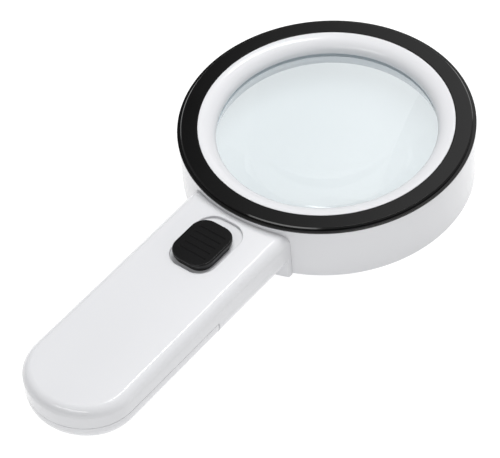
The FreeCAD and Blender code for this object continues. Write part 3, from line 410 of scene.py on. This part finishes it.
# %% [markdown]
# ## Cells
# An AA cell is a steel can in a printed sleeve. The sleeve stops short of both ends, and a coppery band
# marks the end with the nub. The pattern runs along X, so each cell needs only where its two ends are.


# %% Cell sleeve
SLEEVE_START, BAND_START, SLEEVE_END = 0.012, 0.70, 0.955


def cell_sleeve(name, flat_end, nub_end):
    """Sleeve of a cell that lies along X, from its flat end to its nub."""
    sleeve = Finish(name, IOR=1.5)
    split = sleeve.add("ShaderNodeSeparateXYZ", links={0: sleeve.where})
    along = (split - flat_end) / (nub_end - flat_end)
    band = along > BAND_START
    bare = (along > SLEEVE_END) + (along < SLEEVE_START)
    scuff = sleeve.cloud(300, 5, (0.3, 1, 1))
    body = sleeve.between(scuff, (0.035, 0.045, 0.06), (0.055, 0.065, 0.085))
    coat = sleeve.between(band, body, (0.62, 0.34, 0.14))
    sleeve.set(Base_Color=sleeve.between(bare, coat, (0.66, 0.65, 0.62)),
               Metallic=bare.math("MAXIMUM", bare, band * 0.9),
               Roughness=0.26 + scuff * 0.16, Normal=sleeve.relief(scuff, 0.00001))
    return sleeve.material


for number in (1, 2, 3):
    name = "battery_%d" % number
    low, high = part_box(name)
    ends = (high.x, low.x) if number == 2 else (low.x, high.x)
    dress(name, cell_sleeve(name + "_sleeve", *ends))
print("cells dressed")

# %% [markdown]
# ## Shells
# The handle's housing, its base plate, the battery door, the lens carrier and the lamp cover are exact
# already, with their fillets, ribs and holes. They carry over with the white finish, whose rounded-edge
# normal softens the corners that the model leaves sharp.

# %% Dress the white shells
for node in ("handle_housing", "handle_base", "battery_door", "lens_carrier", "led_cover"):
    dress(node, shell_white)
print("dressed the white shells")

# %% [markdown]
# ## Turned pieces
# The ring, the bezel, the skirt and the lens are all turned about the lens's axis. Each is drawn as a half
# section of corners, every corner eased by its own radius, and swept round in fine steps. A model's mesh
# has only as many facets as its tolerance asks for; a fresh sweep gives clean highlights on gloss black.


# %% Section helpers
def eased(corners, steps=5):
    """Closed section of (radius, level, easing) corners, with each corner rounded by an arc."""
    points = []
    for index, (x, z, ease) in enumerate(corners):
        spot = Vector((x, z))
        before = Vector(corners[index - 1][:2])
        after = Vector(corners[(index + 1) % len(corners)][:2])
        if ease == 0:
            points.append(spot)
            continue
        come = (before - spot).normalized()
        go = (after - spot).normalized()
        half = come.angle(go) / 2
        cut = ease / math.tan(half)
        centre = spot + (come + go).normalized() * (ease / math.sin(half))
        first = spot + come * cut - centre
        last = spot + go * cut - centre
        sweep = first.angle(last)
        for step in range(steps + 1):
            share = step / steps
            near = math.sin((1 - share) * sweep) / math.sin(sweep)
            far = math.sin(share * sweep) / math.sin(sweep)
            points.append(centre + first * near + last * far)
    return [(p.x, p.y) for p in points]


def loft(name, rings, around=True, closed=False):
    """Mesh through rings of points. Closed joins the last to the first, and otherwise the ends are capped."""
    mesh = bmesh.new()
    rows = [[mesh.verts.new(p) for p in ring] for ring in rings]
    for row, nxt in zip(rows, rows[1:] + (rows[:1] if closed else [])):
        count = len(row)
        for i in range(count if around else count - 1):
            mesh.faces.new((row[i], row[(i + 1) % count], nxt[(i + 1) % count], nxt[i]))
    if not closed:
        mesh.faces.new(rows[0])
        mesh.faces.new(rows[-1])
    bmesh.ops.remove_doubles(mesh, verts=mesh.verts, dist=1e-7)
    bmesh.ops.recalc_face_normals(mesh, faces=mesh.faces)
    data = bpy.data.meshes.new(name)
    mesh.to_mesh(data)
    mesh.free()
    piece = bpy.data.objects.new(name, data)
    bpy.context.scene.collection.objects.link(piece)
    return piece


def swept(name, section, steps=288):
    """Section of (radius, level) points turned about the lens's axis."""
    rings = []
    for step in range(steps):
        angle = 2 * math.pi * step / steps
        rings.append([(r * math.cos(angle), r * math.sin(angle), z) for r, z in section])
    return loft(name, rings, closed=True)


def settle(piece, finish, body="housing", crease=35):
    """Apply modifiers, shade smooth with even flats, and put the piece on its body."""
    piece.data.shade_smooth()
    piece.data.set_sharp_from_angle(angle=math.radians(crease))
    even = piece.modifiers.new("even flats", "WEIGHTED_NORMAL")
    even.keep_sharp = True
    even.weight = 50
    graph = bpy.context.evaluated_depsgraph_get()
    piece.data = bpy.data.meshes.new_from_object(piece.evaluated_get(graph))
    piece.modifiers.clear()
    piece.data.materials.clear()
    piece.data.materials.append(finish)
    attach(piece, body)
    print("%s: %d faces" % (piece.name, len(piece.data.polygons)))
    return piece


print("section helpers ready")

# %% [markdown]
# ## Trim ring
# The black ring snaps on last and hides the bezel's screws. Its top tier ends in a small bevel, and a lower
# flange reaches just past the skirt. Those two steps draw the fine bright line round the head.

# %% Trim ring
TIER_SETBACK = 1.2 * MM
TIER_STEP = 1.1 * MM
TIER_BEVEL = 0.5 * MM
FLANGE_LIP = 0.1 * MM
PLUG_R = trim_out - 2.8 * MM
tier_r = skirt_out - TIER_SETBACK
tier_low = trim_top - TIER_STEP
flange_low = skirt_top + FLANGE_LIP
ring = swept("trim_ring_turned", eased([
    (trim_in, trim_low, 0.1 * MM), (PLUG_R, trim_low, 0.1 * MM),
    (PLUG_R, flange_low, 0.05 * MM), (trim_out, flange_low, 0.12 * MM), (trim_out, tier_low, 0.2 * MM),
    (tier_r, tier_low, 0.08 * MM), (tier_r, trim_top - TIER_BEVEL, 0.1 * MM),
    (tier_r - TIER_BEVEL, trim_top, 0.12 * MM), (trim_in, trim_top, 0.35 * MM)]))
settle(ring, gloss_black)
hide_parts("trim_ring")

# %% [markdown]
# ## Bezel
# The white bezel presses the lens down. Seen from above it is a quarter of an oval, steep at the glass and
# flat where it meets the ring, so its highlight slides round the far side.

# %% Bezel
FIT_GAP = 0.1 * MM
BEZEL_FLANGE_TOP = trim_low - FIT_GAP
BEZEL_FACE_OUT = trim_in - FIT_GAP
BEZEL_LIP = 0.3 * MM
OVAL_STEPS = 28
LENS_BULGE = 5.36 * MM
lens_radius = (lens_out ** 2 + LENS_BULGE ** 2) / (2 * LENS_BULGE)


def glass_top(radius):
    """Level of the lens's upper surface at a radius."""
    return lens_high - lens_radius + math.sqrt(lens_radius ** 2 - radius ** 2)


lip = glass_top(bezel_in) + FIT_GAP
foot = lip + BEZEL_LIP
oval = []
for step in range(OVAL_STEPS + 1):
    turn = math.pi / 2 * step / OVAL_STEPS
    oval.append((BEZEL_FACE_OUT - (BEZEL_FACE_OUT - bezel_in) * math.cos(turn),
                 foot + (bezel_top - foot) * math.sin(turn)))
under = [(bezel_out, BEZEL_FLANGE_TOP), (bezel_out, bezel_low), (lens_out, bezel_low), (bezel_in, lip)]
bezel = swept("lens_bezel_turned", oval + [(BEZEL_FACE_OUT, BEZEL_FLANGE_TOP)] + under)
settle(bezel, shell_white)
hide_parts("lens_bezel")

# %% [markdown]
# ## Lens
# A biconvex disc: two shallow spheres and a ground edge with a fine bevel. It must be one closed solid with
# true curves, or the bending of light would show facets.

# %% Lens
EDGE_BEVEL = 0.25 * MM
CURVE_STEPS = 40
middle = (lens_low + lens_high) / 2
upper = []
for step in range(CURVE_STEPS + 1):
    radius = (lens_out - EDGE_BEVEL) * step / CURVE_STEPS
    upper.append((radius, glass_top(radius)))
rim = [(lens_out, upper[-1][1] - EDGE_BEVEL), (lens_out, 2 * middle - upper[-1][1] + EDGE_BEVEL)]
lower = [(radius, 2 * middle - level) for radius, level in reversed(upper)]
glass = swept("lens_ground", upper + rim + lower, steps=192)
settle(glass, lens_glass)
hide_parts("lens")

# %% [markdown]
# ## Skirt
# The head's outer wall is a plain white drum. All the eye gets are its two edges, so both are eased: the
# rim that stands on the page, and the top edge that shows as a light line under the black ring.

# %% Skirt
SKIRT_WALL = 2.2 * MM
LEDGE_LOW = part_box("led_cover")[0].z
LEDGE_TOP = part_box("led_board")[1].z
skirt_in = skirt_out - SKIRT_WALL
skirt = swept("head_skirt_turned", eased([
    (skirt_in, skirt_low, 0.25 * MM), (skirt_out, skirt_low, 0.8 * MM), (skirt_out, skirt_top, 0.35 * MM),
    (skirt_in, skirt_top, 0.15 * MM), (skirt_in, LEDGE_TOP, 0), (skirt_ledge, LEDGE_TOP, 0.1 * MM),
    (skirt_ledge, LEDGE_LOW, 0.15 * MM), (skirt_in, LEDGE_LOW, 0)]))
settle(skirt, shell_white)
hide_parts("head_housing")

# %% [markdown]
# ## Repeats by Geometry Nodes
# Screws, lamps and grooves repeat, so each is drawn once and a small tree makes the rest. A tree keeps the
# count, the circle and the pitch as named inputs, which is easier to change than a row of copied meshes.
# Every tree ends by turning its copies into real mesh and giving them a finish.


# %% Tree helper
class Recipe(Net):
    """Geometry Nodes tree with named inputs, from one geometry to another."""

    def __init__(self, name, **kinds):
        super().__init__(bpy.data.node_groups.new(name, "GeometryNodeTree"))
        self.keys = {}
        self.tree.interface.new_socket("Geometry", in_out="OUTPUT", socket_type="NodeSocketGeometry")
        self.tree.interface.new_socket("Geometry", in_out="INPUT", socket_type="NodeSocketGeometry")
        for label, kind in kinds.items():
            item = self.tree.interface.new_socket(label, in_out="INPUT", socket_type="NodeSocket" + kind)
            self.keys[label] = item.identifier
        self.entry = self.tree.nodes.new("NodeGroupInput")

    def given(self, label="Geometry"):
        return Wire(self, self.entry.outputs[label])

    def vector(self, x=0.0, y=0.0, z=0.0):
        return self.add("ShaderNodeCombineXYZ", links={0: x, 1: y, 2: z})

    def moved(self, geometry, place=(0, 0, 0), turn=(0, 0, 0)):
        return self.add("GeometryNodeTransform",
                        links={"Geometry": geometry, "Translation": place, "Rotation": turn})

    def cut(self, whole, tools, operation="DIFFERENCE"):
        """Take tools away from a solid, or join them to it."""
        if operation == "DIFFERENCE":
            meshes = {"Mesh 1": whole, "Mesh 2": tools}
        else:
            meshes = {"Mesh 2": [whole, *tools]}
        return self.add("GeometryNodeMeshBoolean", {"operation": operation, "solver": "EXACT"}, meshes)

    def result(self, geometry):
        """End the tree with real mesh in its finish."""
        real = self.add("GeometryNodeRealizeInstances", links={0: geometry})
        dressed = self.add("GeometryNodeSetMaterial", links={0: real, "Material": self.given("Finish")})
        self.join(self.tree.nodes.new("NodeGroupOutput").inputs[0], dressed)
        return self

    def use_on(self, piece, **values):
        step = piece.modifiers.new(self.tree.name, "NODES")
        step.node_group = self.tree
        for label, value in values.items():
            step[self.keys[label]] = value


def ring_tree():
    """Copies of one piece round the lens's axis."""
    ring = Recipe("ring of copies", Radius="Float", Count="Int", Start="Float", Finish="Material")
    circle = ring.add("GeometryNodeMeshCircle",
                      links={"Vertices": ring.given("Count"), "Radius": ring.given("Radius")})
    spots = ring.moved(circle, turn=ring.vector(z=ring.given("Start")))
    turn = ring.add("GeometryNodeInputIndex") * math.tau / ring.given("Count") + ring.given("Start")
    copies = ring.add("GeometryNodeInstanceOnPoints",
                      links={"Points": spots, "Instance": ring.given(), "Rotation": ring.vector(z=turn)})
    return ring.result(copies)


def corner_tree():
    """Four copies of one piece at the corners of a rectangle."""
    corners = Recipe("four corners", Length="Float", Width="Float", Middle="Float", Finish="Material")
    grid = corners.add("GeometryNodeMeshGrid",
                       links={"Size X": corners.given("Length"), "Size Y": corners.given("Width"),
                              "Vertices X": 2, "Vertices Y": 2})
    spots = corners.moved(grid, place=corners.vector(x=corners.given("Middle")))
    copies = corners.add("GeometryNodeInstanceOnPoints", links={"Points": spots, "Instance": corners.given()})
    return corners.result(copies)


ring_of_copies = ring_tree()
four_corners = corner_tree()
print("trees:", [tree.name for tree in bpy.data.node_groups])

# %% [markdown]
# ## Screws
# Small self-tapping screws of zinc-plated steel: flat-headed and sunk where they show, cylinder-headed where
# they hide under the ring. Their sizes come from the model's own screws. One is turned on its axis, a tree
# presses the cross recess into its head, and a second tree sets the copies in place.


# %% Screws
DRIVE_SHARE = 0.45
DRIVE_WIDTH = 0.28
HEAD_BEVEL = 0.06 * MM
SCREW_TIP = 0.25 * MM


def recess_tree():
    """Cross recess in a screw's head."""
    cross = Recipe("cross recess", Arm="Float", Thick="Float", Deep="Float", Level="Float", Finish="Material")
    height = cross.given("Deep") * 2
    place = cross.vector(z=cross.given("Level"))
    arms = []
    for turn in (0.0, math.pi / 2):
        size = cross.vector(cross.given("Arm"), cross.given("Thick"), height)
        bar = cross.add("GeometryNodeMeshCube", links={"Size": size})
        arms.append(cross.moved(bar, place, (0, 0, turn)))
    return cross.result(cross.cut(cross.given(), arms))


cross_recess = recess_tree()


def screw(name, face, tip, head_r, head_h, shaft_r, sunk):
    """One screw on the Z axis, from its face to its tip, with its recess."""
    way = 1 if tip > face else -1
    under = face + way * head_h
    neck = [(shaft_r, under)] if sunk else [(head_r, under), (shaft_r, under)]
    body = swept(name, [(0, face), (head_r - HEAD_BEVEL, face), (head_r, face + way * HEAD_BEVEL), *neck,
                        (shaft_r, tip - way * SCREW_TIP), (shaft_r - SCREW_TIP, tip), (0, tip)], steps=40)
    cross_recess.use_on(body, Arm=head_r * 2 * DRIVE_SHARE, Thick=head_r * DRIVE_WIDTH, Deep=head_h / 2,
                        Level=face, Finish=zinc)
    return body


def ring_of_screws(node, count, start, face, tip, head_h, shaft_r, sunk):
    """Screws round the head, on the model's own circle."""
    least, most = measure(node)[:2]
    head_r = (most - least) / 2
    screws = screw(node + "_steel", face, tip, head_r, head_h, shaft_r, sunk)
    ring_of_copies.use_on(screws, Radius=(most + least) / 2, Count=count, Start=start, Finish=zinc)
    settle(screws, zinc)
    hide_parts(node)


low, high = (corner.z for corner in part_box("cover_screws"))
ring_of_screws("cover_screws", 3, 0.0, low, high, 1.0 * MM, 0.9 * MM, True)
low, high = (corner.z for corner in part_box("bezel_screws"))
ring_of_screws("bezel_screws", 6, math.pi / 6, high, low, 1.4 * MM, 1.1 * MM, False)

BASE_HEAD_R = 2.2 * MM
low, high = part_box("base_screws")
screws = screw("base_screws_steel", low.z, high.z, BASE_HEAD_R, 1.2 * MM, 1.1 * MM, True)
four_corners.use_on(screws, Length=high.x - low.x - 2 * BASE_HEAD_R, Width=high.y - low.y - 2 * BASE_HEAD_R,
                    Middle=(low.x + high.x) / 2, Finish=zinc)
settle(screws, zinc)
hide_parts("base_screws")

# %% [markdown]
# ## Lamps
# Twelve flat white lamps face the page. Each is a small moulded case with a round well, and the floor of the
# well is a yellow phosphor gel over the chip. The tree marks the gel's faces with an attribute of their own,
# and the finish reads it, so one material colours both the case and the gel.


# %% Lamps
def outline(length, width, corner, middle=0.0, steps=8):
    """Rounded rectangle as (x, y) points."""
    points = []
    for quarter, (side_x, side_y) in enumerate(((1, 1), (-1, 1), (-1, -1), (1, -1))):
        for step in range(steps + 1):
            angle = math.pi / 2 * (quarter + step / steps)
            points.append((middle + side_x * (length / 2 - corner) + corner * math.cos(angle),
                           side_y * (width / 2 - corner) + corner * math.sin(angle)))
    return points


def stack(name, layers, middle=0.0):
    """Solid through (length, width, corner, level) rounded rectangles."""
    return loft(name, [[(x, y, level) for x, y in outline(length, width, corner, middle)]
                       for length, width, corner, level in layers])


def well_tree():
    """Round well in the underside of a lamp, with its floor marked as gel."""
    well = Recipe("round well", Radius="Float", Flare="Float", Deep="Float", Level="Float", Finish="Material")
    deep, level = well.given("Deep"), well.given("Level")
    mouth = well.given("Radius") + well.given("Flare") * 2
    tool = well.add("GeometryNodeMeshCone", links={"Vertices": 48, "Radius Top": well.given("Radius"),
                                                   "Radius Bottom": mouth, "Depth": deep * 2})
    hollow = well.cut(well.given(), [well.moved(tool, well.vector(z=level - deep))])
    place = well.add("GeometryNodeInputPosition")
    height = (well.add("ShaderNodeSeparateXYZ", links={0: place}, out=2) - level) / deep
    gel = (height > 0.9) * (height < 1.1)
    marked = well.add("GeometryNodeStoreNamedAttribute", {"data_type": "FLOAT", "domain": "FACE"},
                      {"Geometry": hollow, "Name": "gel", "Value": gel})
    return well.result(marked)


def lamp_finish():
    """Pale case with a yellow gel in its well."""
    lamp = Finish("lamp_case", IOR=1.5)
    gel = lamp.add("ShaderNodeAttribute", {"attribute_name": "gel"}, out=2)
    grain = lamp.cloud(1400, 3)
    case = lamp.between(grain, (0.74, 0.74, 0.70), (0.82, 0.82, 0.79))
    warm = lamp.between(grain, (0.78, 0.62, 0.10), (0.86, 0.72, 0.18))
    lamp.set(Base_Color=lamp.between(gel, case, warm), Roughness=0.42 - gel * 0.22 + grain * 0.1,
             Normal=lamp.relief(grain, 0.000008, 0.00005))
    return lamp.material


lamp_case = lamp_finish()
round_well = well_tree()
LAMP_COUNT = 12
LAMP_SIDE, LAMP_CORNER = 5.0 * MM, 0.2 * MM
LAMP_CIRCLE = lens_out + 3.5 * MM
low, high = (corner.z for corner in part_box("led_1"))
lamps = stack("lamps", [(LAMP_SIDE, LAMP_SIDE, LAMP_CORNER, level) for level in (low, high)])
round_well.use_on(lamps, Radius=2.1 * MM, Flare=0.2 * MM, Deep=0.4 * MM, Level=low, Finish=lamp_case)
ring_of_copies.use_on(lamps, Radius=LAMP_CIRCLE, Count=LAMP_COUNT, Start=math.pi / LAMP_COUNT, Finish=lamp_case)
settle(lamps, lamp_case)
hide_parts(*["led_%d" % number for number in range(1, LAMP_COUNT + 1)])

# %% [markdown]
# ## Switch cap
# The cap is a polished black plate with a rounded edge, on a narrower foot, with a fork underneath that
# carries the switch's knob along. Five round-ended grooves give the thumb its grip. The grooves are one
# cutter repeated on a line, taken away by a boolean, so their count and pitch stay two plain numbers.

# %% Switch cap
CAP_PLATE = 1.9 * MM
CAP_LIP = 0.9 * MM
CAP_CORNER = 7.0 * MM
CAP_ROUND = 0.7 * MM
FOOT_LOW = 23.7 * MM
ROUND_STEPS = 8
GROOVE_COUNT, GROOVE_PITCH = 5, 3.4 * MM
GROOVE_LONG, GROOVE_WIDE, GROOVE_DEEP, GROOVE_SLOPE = 14.4 * MM, 1.1 * MM, 0.45 * MM, 0.36 * MM
GROOVE_END = GROOVE_WIDE / 2 - 0.01 * MM
low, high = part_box("switch_cap")
cap_x = (low.x + high.x) / 2
long, wide, cap_top = high.x - low.x, high.y - low.y, high.z
plate_low = cap_top - CAP_PLATE
knob_low, knob_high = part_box("switch_knob")
knob_x = (knob_low.x + knob_high.x) / 2
layers = [(long - 2 * CAP_LIP, wide - 2 * CAP_LIP, CAP_CORNER - CAP_LIP, FOOT_LOW),
          (long - 2 * CAP_LIP, wide - 2 * CAP_LIP, CAP_CORNER - CAP_LIP, plate_low),
          (long, wide, CAP_CORNER, plate_low)]
for step in range(ROUND_STEPS + 1):
    turn = math.pi / 2 * step / ROUND_STEPS
    inset = CAP_ROUND * (1 - math.cos(turn))
    layers.append((long - 2 * inset, wide - 2 * inset, CAP_CORNER - inset,
                   cap_top - CAP_ROUND * (1 - math.sin(turn))))
cap = stack("switch_cap_polished", layers, cap_x)
groove = stack("groove", [
    (GROOVE_WIDE - 2 * GROOVE_SLOPE, GROOVE_LONG - 2 * GROOVE_SLOPE, GROOVE_END - GROOVE_SLOPE,
     cap_top - GROOVE_DEEP),
    (GROOVE_WIDE, GROOVE_LONG, GROOVE_END, cap_top),
    (GROOVE_WIDE, GROOVE_LONG, GROOVE_END, cap_top + 1 * MM)])


def prongs(name, bottom, top, half_width):
    """Slice of the fork, notched for the knob's stem."""
    half, gap, notch_top = 2.5 * MM, 1.1 * MM, 21.4 * MM
    shape = [(-half, bottom), (-gap, bottom), (-gap, notch_top), (gap, notch_top), (gap, bottom), (half, bottom),
             (half, top), (-half, top)]
    return loft(name, [[(knob_x + x, y, z) for x, z in shape] for y in (-half_width, half_width)])


fork = prongs("fork", low.z, FOOT_LOW + 1 * MM, 2.0 * MM)
fork_lip = prongs("fork_lip", 21.2 * MM, 21.7 * MM, 3.0 * MM)


def cap_tree():
    """Fork joined under the cap, and grooves cut across its top."""
    tree = Recipe("grooved cap", Fork="Object", Lip="Object", Groove="Object", Count="Int", Pitch="Float",
                  Middle="Float", Finish="Material")

    def shape(label):
        return tree.add("GeometryNodeObjectInfo", links={"Object": tree.given(label)}, out="Geometry")

    whole = tree.cut(tree.given(), [shape("Fork"), shape("Lip")], "UNION")
    first = tree.given("Middle") - (tree.given("Count") - 1) * tree.given("Pitch") * 0.5
    line = tree.add("GeometryNodeMeshLine",
                    links={"Count": tree.given("Count"), "Start Location": tree.vector(first),
                           "Offset": tree.vector(tree.given("Pitch"))})
    row = tree.add("GeometryNodeInstanceOnPoints", links={"Points": line, "Instance": shape("Groove")})
    return tree.result(tree.cut(whole, [tree.add("GeometryNodeRealizeInstances", links={0: row})]))


cap_tree().use_on(cap, Fork=fork, Lip=fork_lip, Groove=groove, Count=GROOVE_COUNT, Pitch=GROOVE_PITCH,
                  Middle=cap_x, Finish=cap_black)
settle(cap, cap_black, "switch_slider", crease=40)
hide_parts("switch_cap")
for tool in (groove, fork, fork_lip):
    bpy.data.objects.remove(tool)

# %% [markdown]
# ## Studio
# A pale sweep lit from all round: an even white surround, and one broad soft key from behind and to the
# right, which throws the cap's small shadow forward. A narrow strip draws the bright line along the handle's
# shoulder, and a low light on the left picks out the ring's bevel. Polished black shows only what it
# reflects, so a graded card behind the head gives its top a slow fade.
#
# Glass shows the studio twice over, as a mirror and as a window. So the key is left out of all mirror images,
# the strip doesn't light the lens, and rays that have passed through glass see neither the lights nor the
# card. They meet a paler, even surround instead.


# %% Floor and lights
FLOOR_HALF = 4.0
FLOOR_GAP = 0.3 * MM
PAGE_RADIUS = 59 * MM
SURROUND, SURROUND_THROUGH_GLASS = 0.30, 0.80


def soft_light(name, place, size, power, aim=(-0.05, 0, 0.02)):
    """Area light at a place, turned to the object."""
    lamp = bpy.data.lights.new(name, "AREA")
    lamp.shape = "RECTANGLE"
    lamp.size, lamp.size_y = size
    lamp.energy = power
    light = bpy.data.objects.new(name, lamp)
    bpy.context.scene.collection.objects.link(light)
    light.location = place
    light.rotation_mode = "QUATERNION"
    light.rotation_quaternion = (Vector(place) - Vector(aim)).to_track_quat("Z", "Y")
    light.visible_camera = False
    light.visible_transmission = False
    return light


def sweep_paper():
    """Floor that glows white, is nearer to paper under the lens, and is clear when seen from below."""
    paper = Finish("studio_paper", IOR=1.3)
    fibre = paper.cloud(700, 4)
    reach = paper.add("ShaderNodeVectorMath", {"operation": "LENGTH"}, {0: paper.where}, out=1)
    page = reach < PAGE_RADIUS
    glow = paper.between(page, (0.84, 0.84, 0.84), (0.76, 0.76, 0.76))
    light = paper.between(fibre, (0.29, 0.29, 0.29), (0.31, 0.31, 0.31))
    plain = paper.between(fibre, (0.19, 0.19, 0.19), (0.21, 0.21, 0.21))
    paper.set(Base_Color=paper.between(page, light, plain), Roughness=0.8 + fibre * 0.1,
              Emission_Color=glow, Emission_Strength=1.0)
    under = paper.add("ShaderNodeNewGeometry", out="Backfacing")
    clear = paper.add("ShaderNodeBsdfTransparent")
    seen = Wire(paper, paper.shader.outputs[0])
    mixed = paper.add("ShaderNodeMixShader", links={0: under, 1: seen, 2: clear})
    paper.join(paper.tree.nodes["Material Output"].inputs[0], mixed)
    sheet = bpy.data.meshes.new("floor")
    half = FLOOR_HALF
    sheet.from_pydata([(-half, -half, 0), (half, -half, 0), (half, half, 0), (-half, half, 0)], [],
                      [(0, 1, 2, 3)])
    sheet.materials.append(paper.material)
    ground = bpy.data.objects.new("floor", sheet)
    bpy.context.scene.collection.objects.link(ground)
    ground.location.z = -FLOOR_GAP
    return ground


def graded_card(place, aim, bright_way, size, stops):
    """Card that glows from dim to bright along one direction."""
    card = Finish("graded_card")
    across = card.add("ShaderNodeSeparateXYZ", links={0: card.where})
    fade = card.add("ShaderNodeValToRGB", {"stops": stops}, {0: across / size[0] + 0.5})
    card.set(Base_Color=(0, 0, 0, 1), Emission_Color=fade, Emission_Strength=1.0)
    x, y = size[0] / 2, size[1] / 2
    sheet = bpy.data.meshes.new("card")
    sheet.from_pydata([(-x, -y, 0), (x, -y, 0), (x, y, 0), (-x, y, 0)], [], [(0, 1, 2, 3)])
    sheet.materials.append(card.material)
    board = bpy.data.objects.new("card", sheet)
    bpy.context.scene.collection.objects.link(board)
    out = (Vector(place) - Vector(aim)).normalized()
    along = Vector(bright_way)
    along = (along - out * along.dot(out)).normalized()
    board.rotation_mode = "QUATERNION"
    board.rotation_quaternion = Matrix((along, out.cross(along), out)).transposed().to_quaternion()
    board.location = place
    board.visible_camera = False
    board.visible_transmission = False
    return board


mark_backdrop(sweep_paper(), graded_card((0.546, 0.452, 0.735), (0, 0, 0.03), (0.417, -0.909, 0), (0.5, 0.8),
                                    [(0.26, 0.06), (0.78, 0.82)]))
scene = bpy.context.scene
scene.view_settings.view_transform = "Standard"
world = bpy.data.worlds.new("surround")
world.use_nodes = True
surround = Net(world.node_tree)
through = surround.add("ShaderNodeLightPath", out="Is Transmission Ray")
backdrop = surround.tree.nodes["Background"]
surround.join(backdrop.inputs["Color"], (1.0, 1.0, 1.0, 1))
surround.join(backdrop.inputs["Strength"], through * (SURROUND_THROUGH_GLASS - SURROUND) + SURROUND)
scene.world = world
# Light that a thick lens throws back inside itself counts as glossy bounces. Past the limit it is drawn black,
# and the usual four leave a black crescent in the glass from a low angle. Twelve clear it.
scene.cycles.glossy_bounces = 12
key = soft_light("key", (0.42, 0.08, 1.12), (0.95, 0.95), 15.9)
key.visible_glossy = False
strip = soft_light("strip", (0.33, 0.15, 0.90), (0.08, 0.40), 1.1, (-0.12, 0, 0.02))
soft_light("fill", (-0.3, -1.2, 0.4), (1.2, 0.6), 1.0)
soft_light("left", (-0.82, -0.05, 0.68), (0.8, 0.16), 1.6)
spared = bpy.data.collections.new("spared by the strip")
spared.objects.link(glass)
strip.light_linking.receiver_collection = spared
spared.collection_objects[0].light_linking.link_state = "EXCLUDE"
print("studio ready")

# %% [markdown]
# ## Finish
# The nodes that still wear the model's plain finish are listed, and the box of the dressed object is printed.

# %% Write the sizes
plain = [name for name, node in nodes.items() if not node.hide_render
         and any(slot.link == "DATA" for slot in node.material_slots)]
print("nodes still plain:", plain)
low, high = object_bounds()
print("box", [round(c / MM, 2) for c in (*low, *high)])
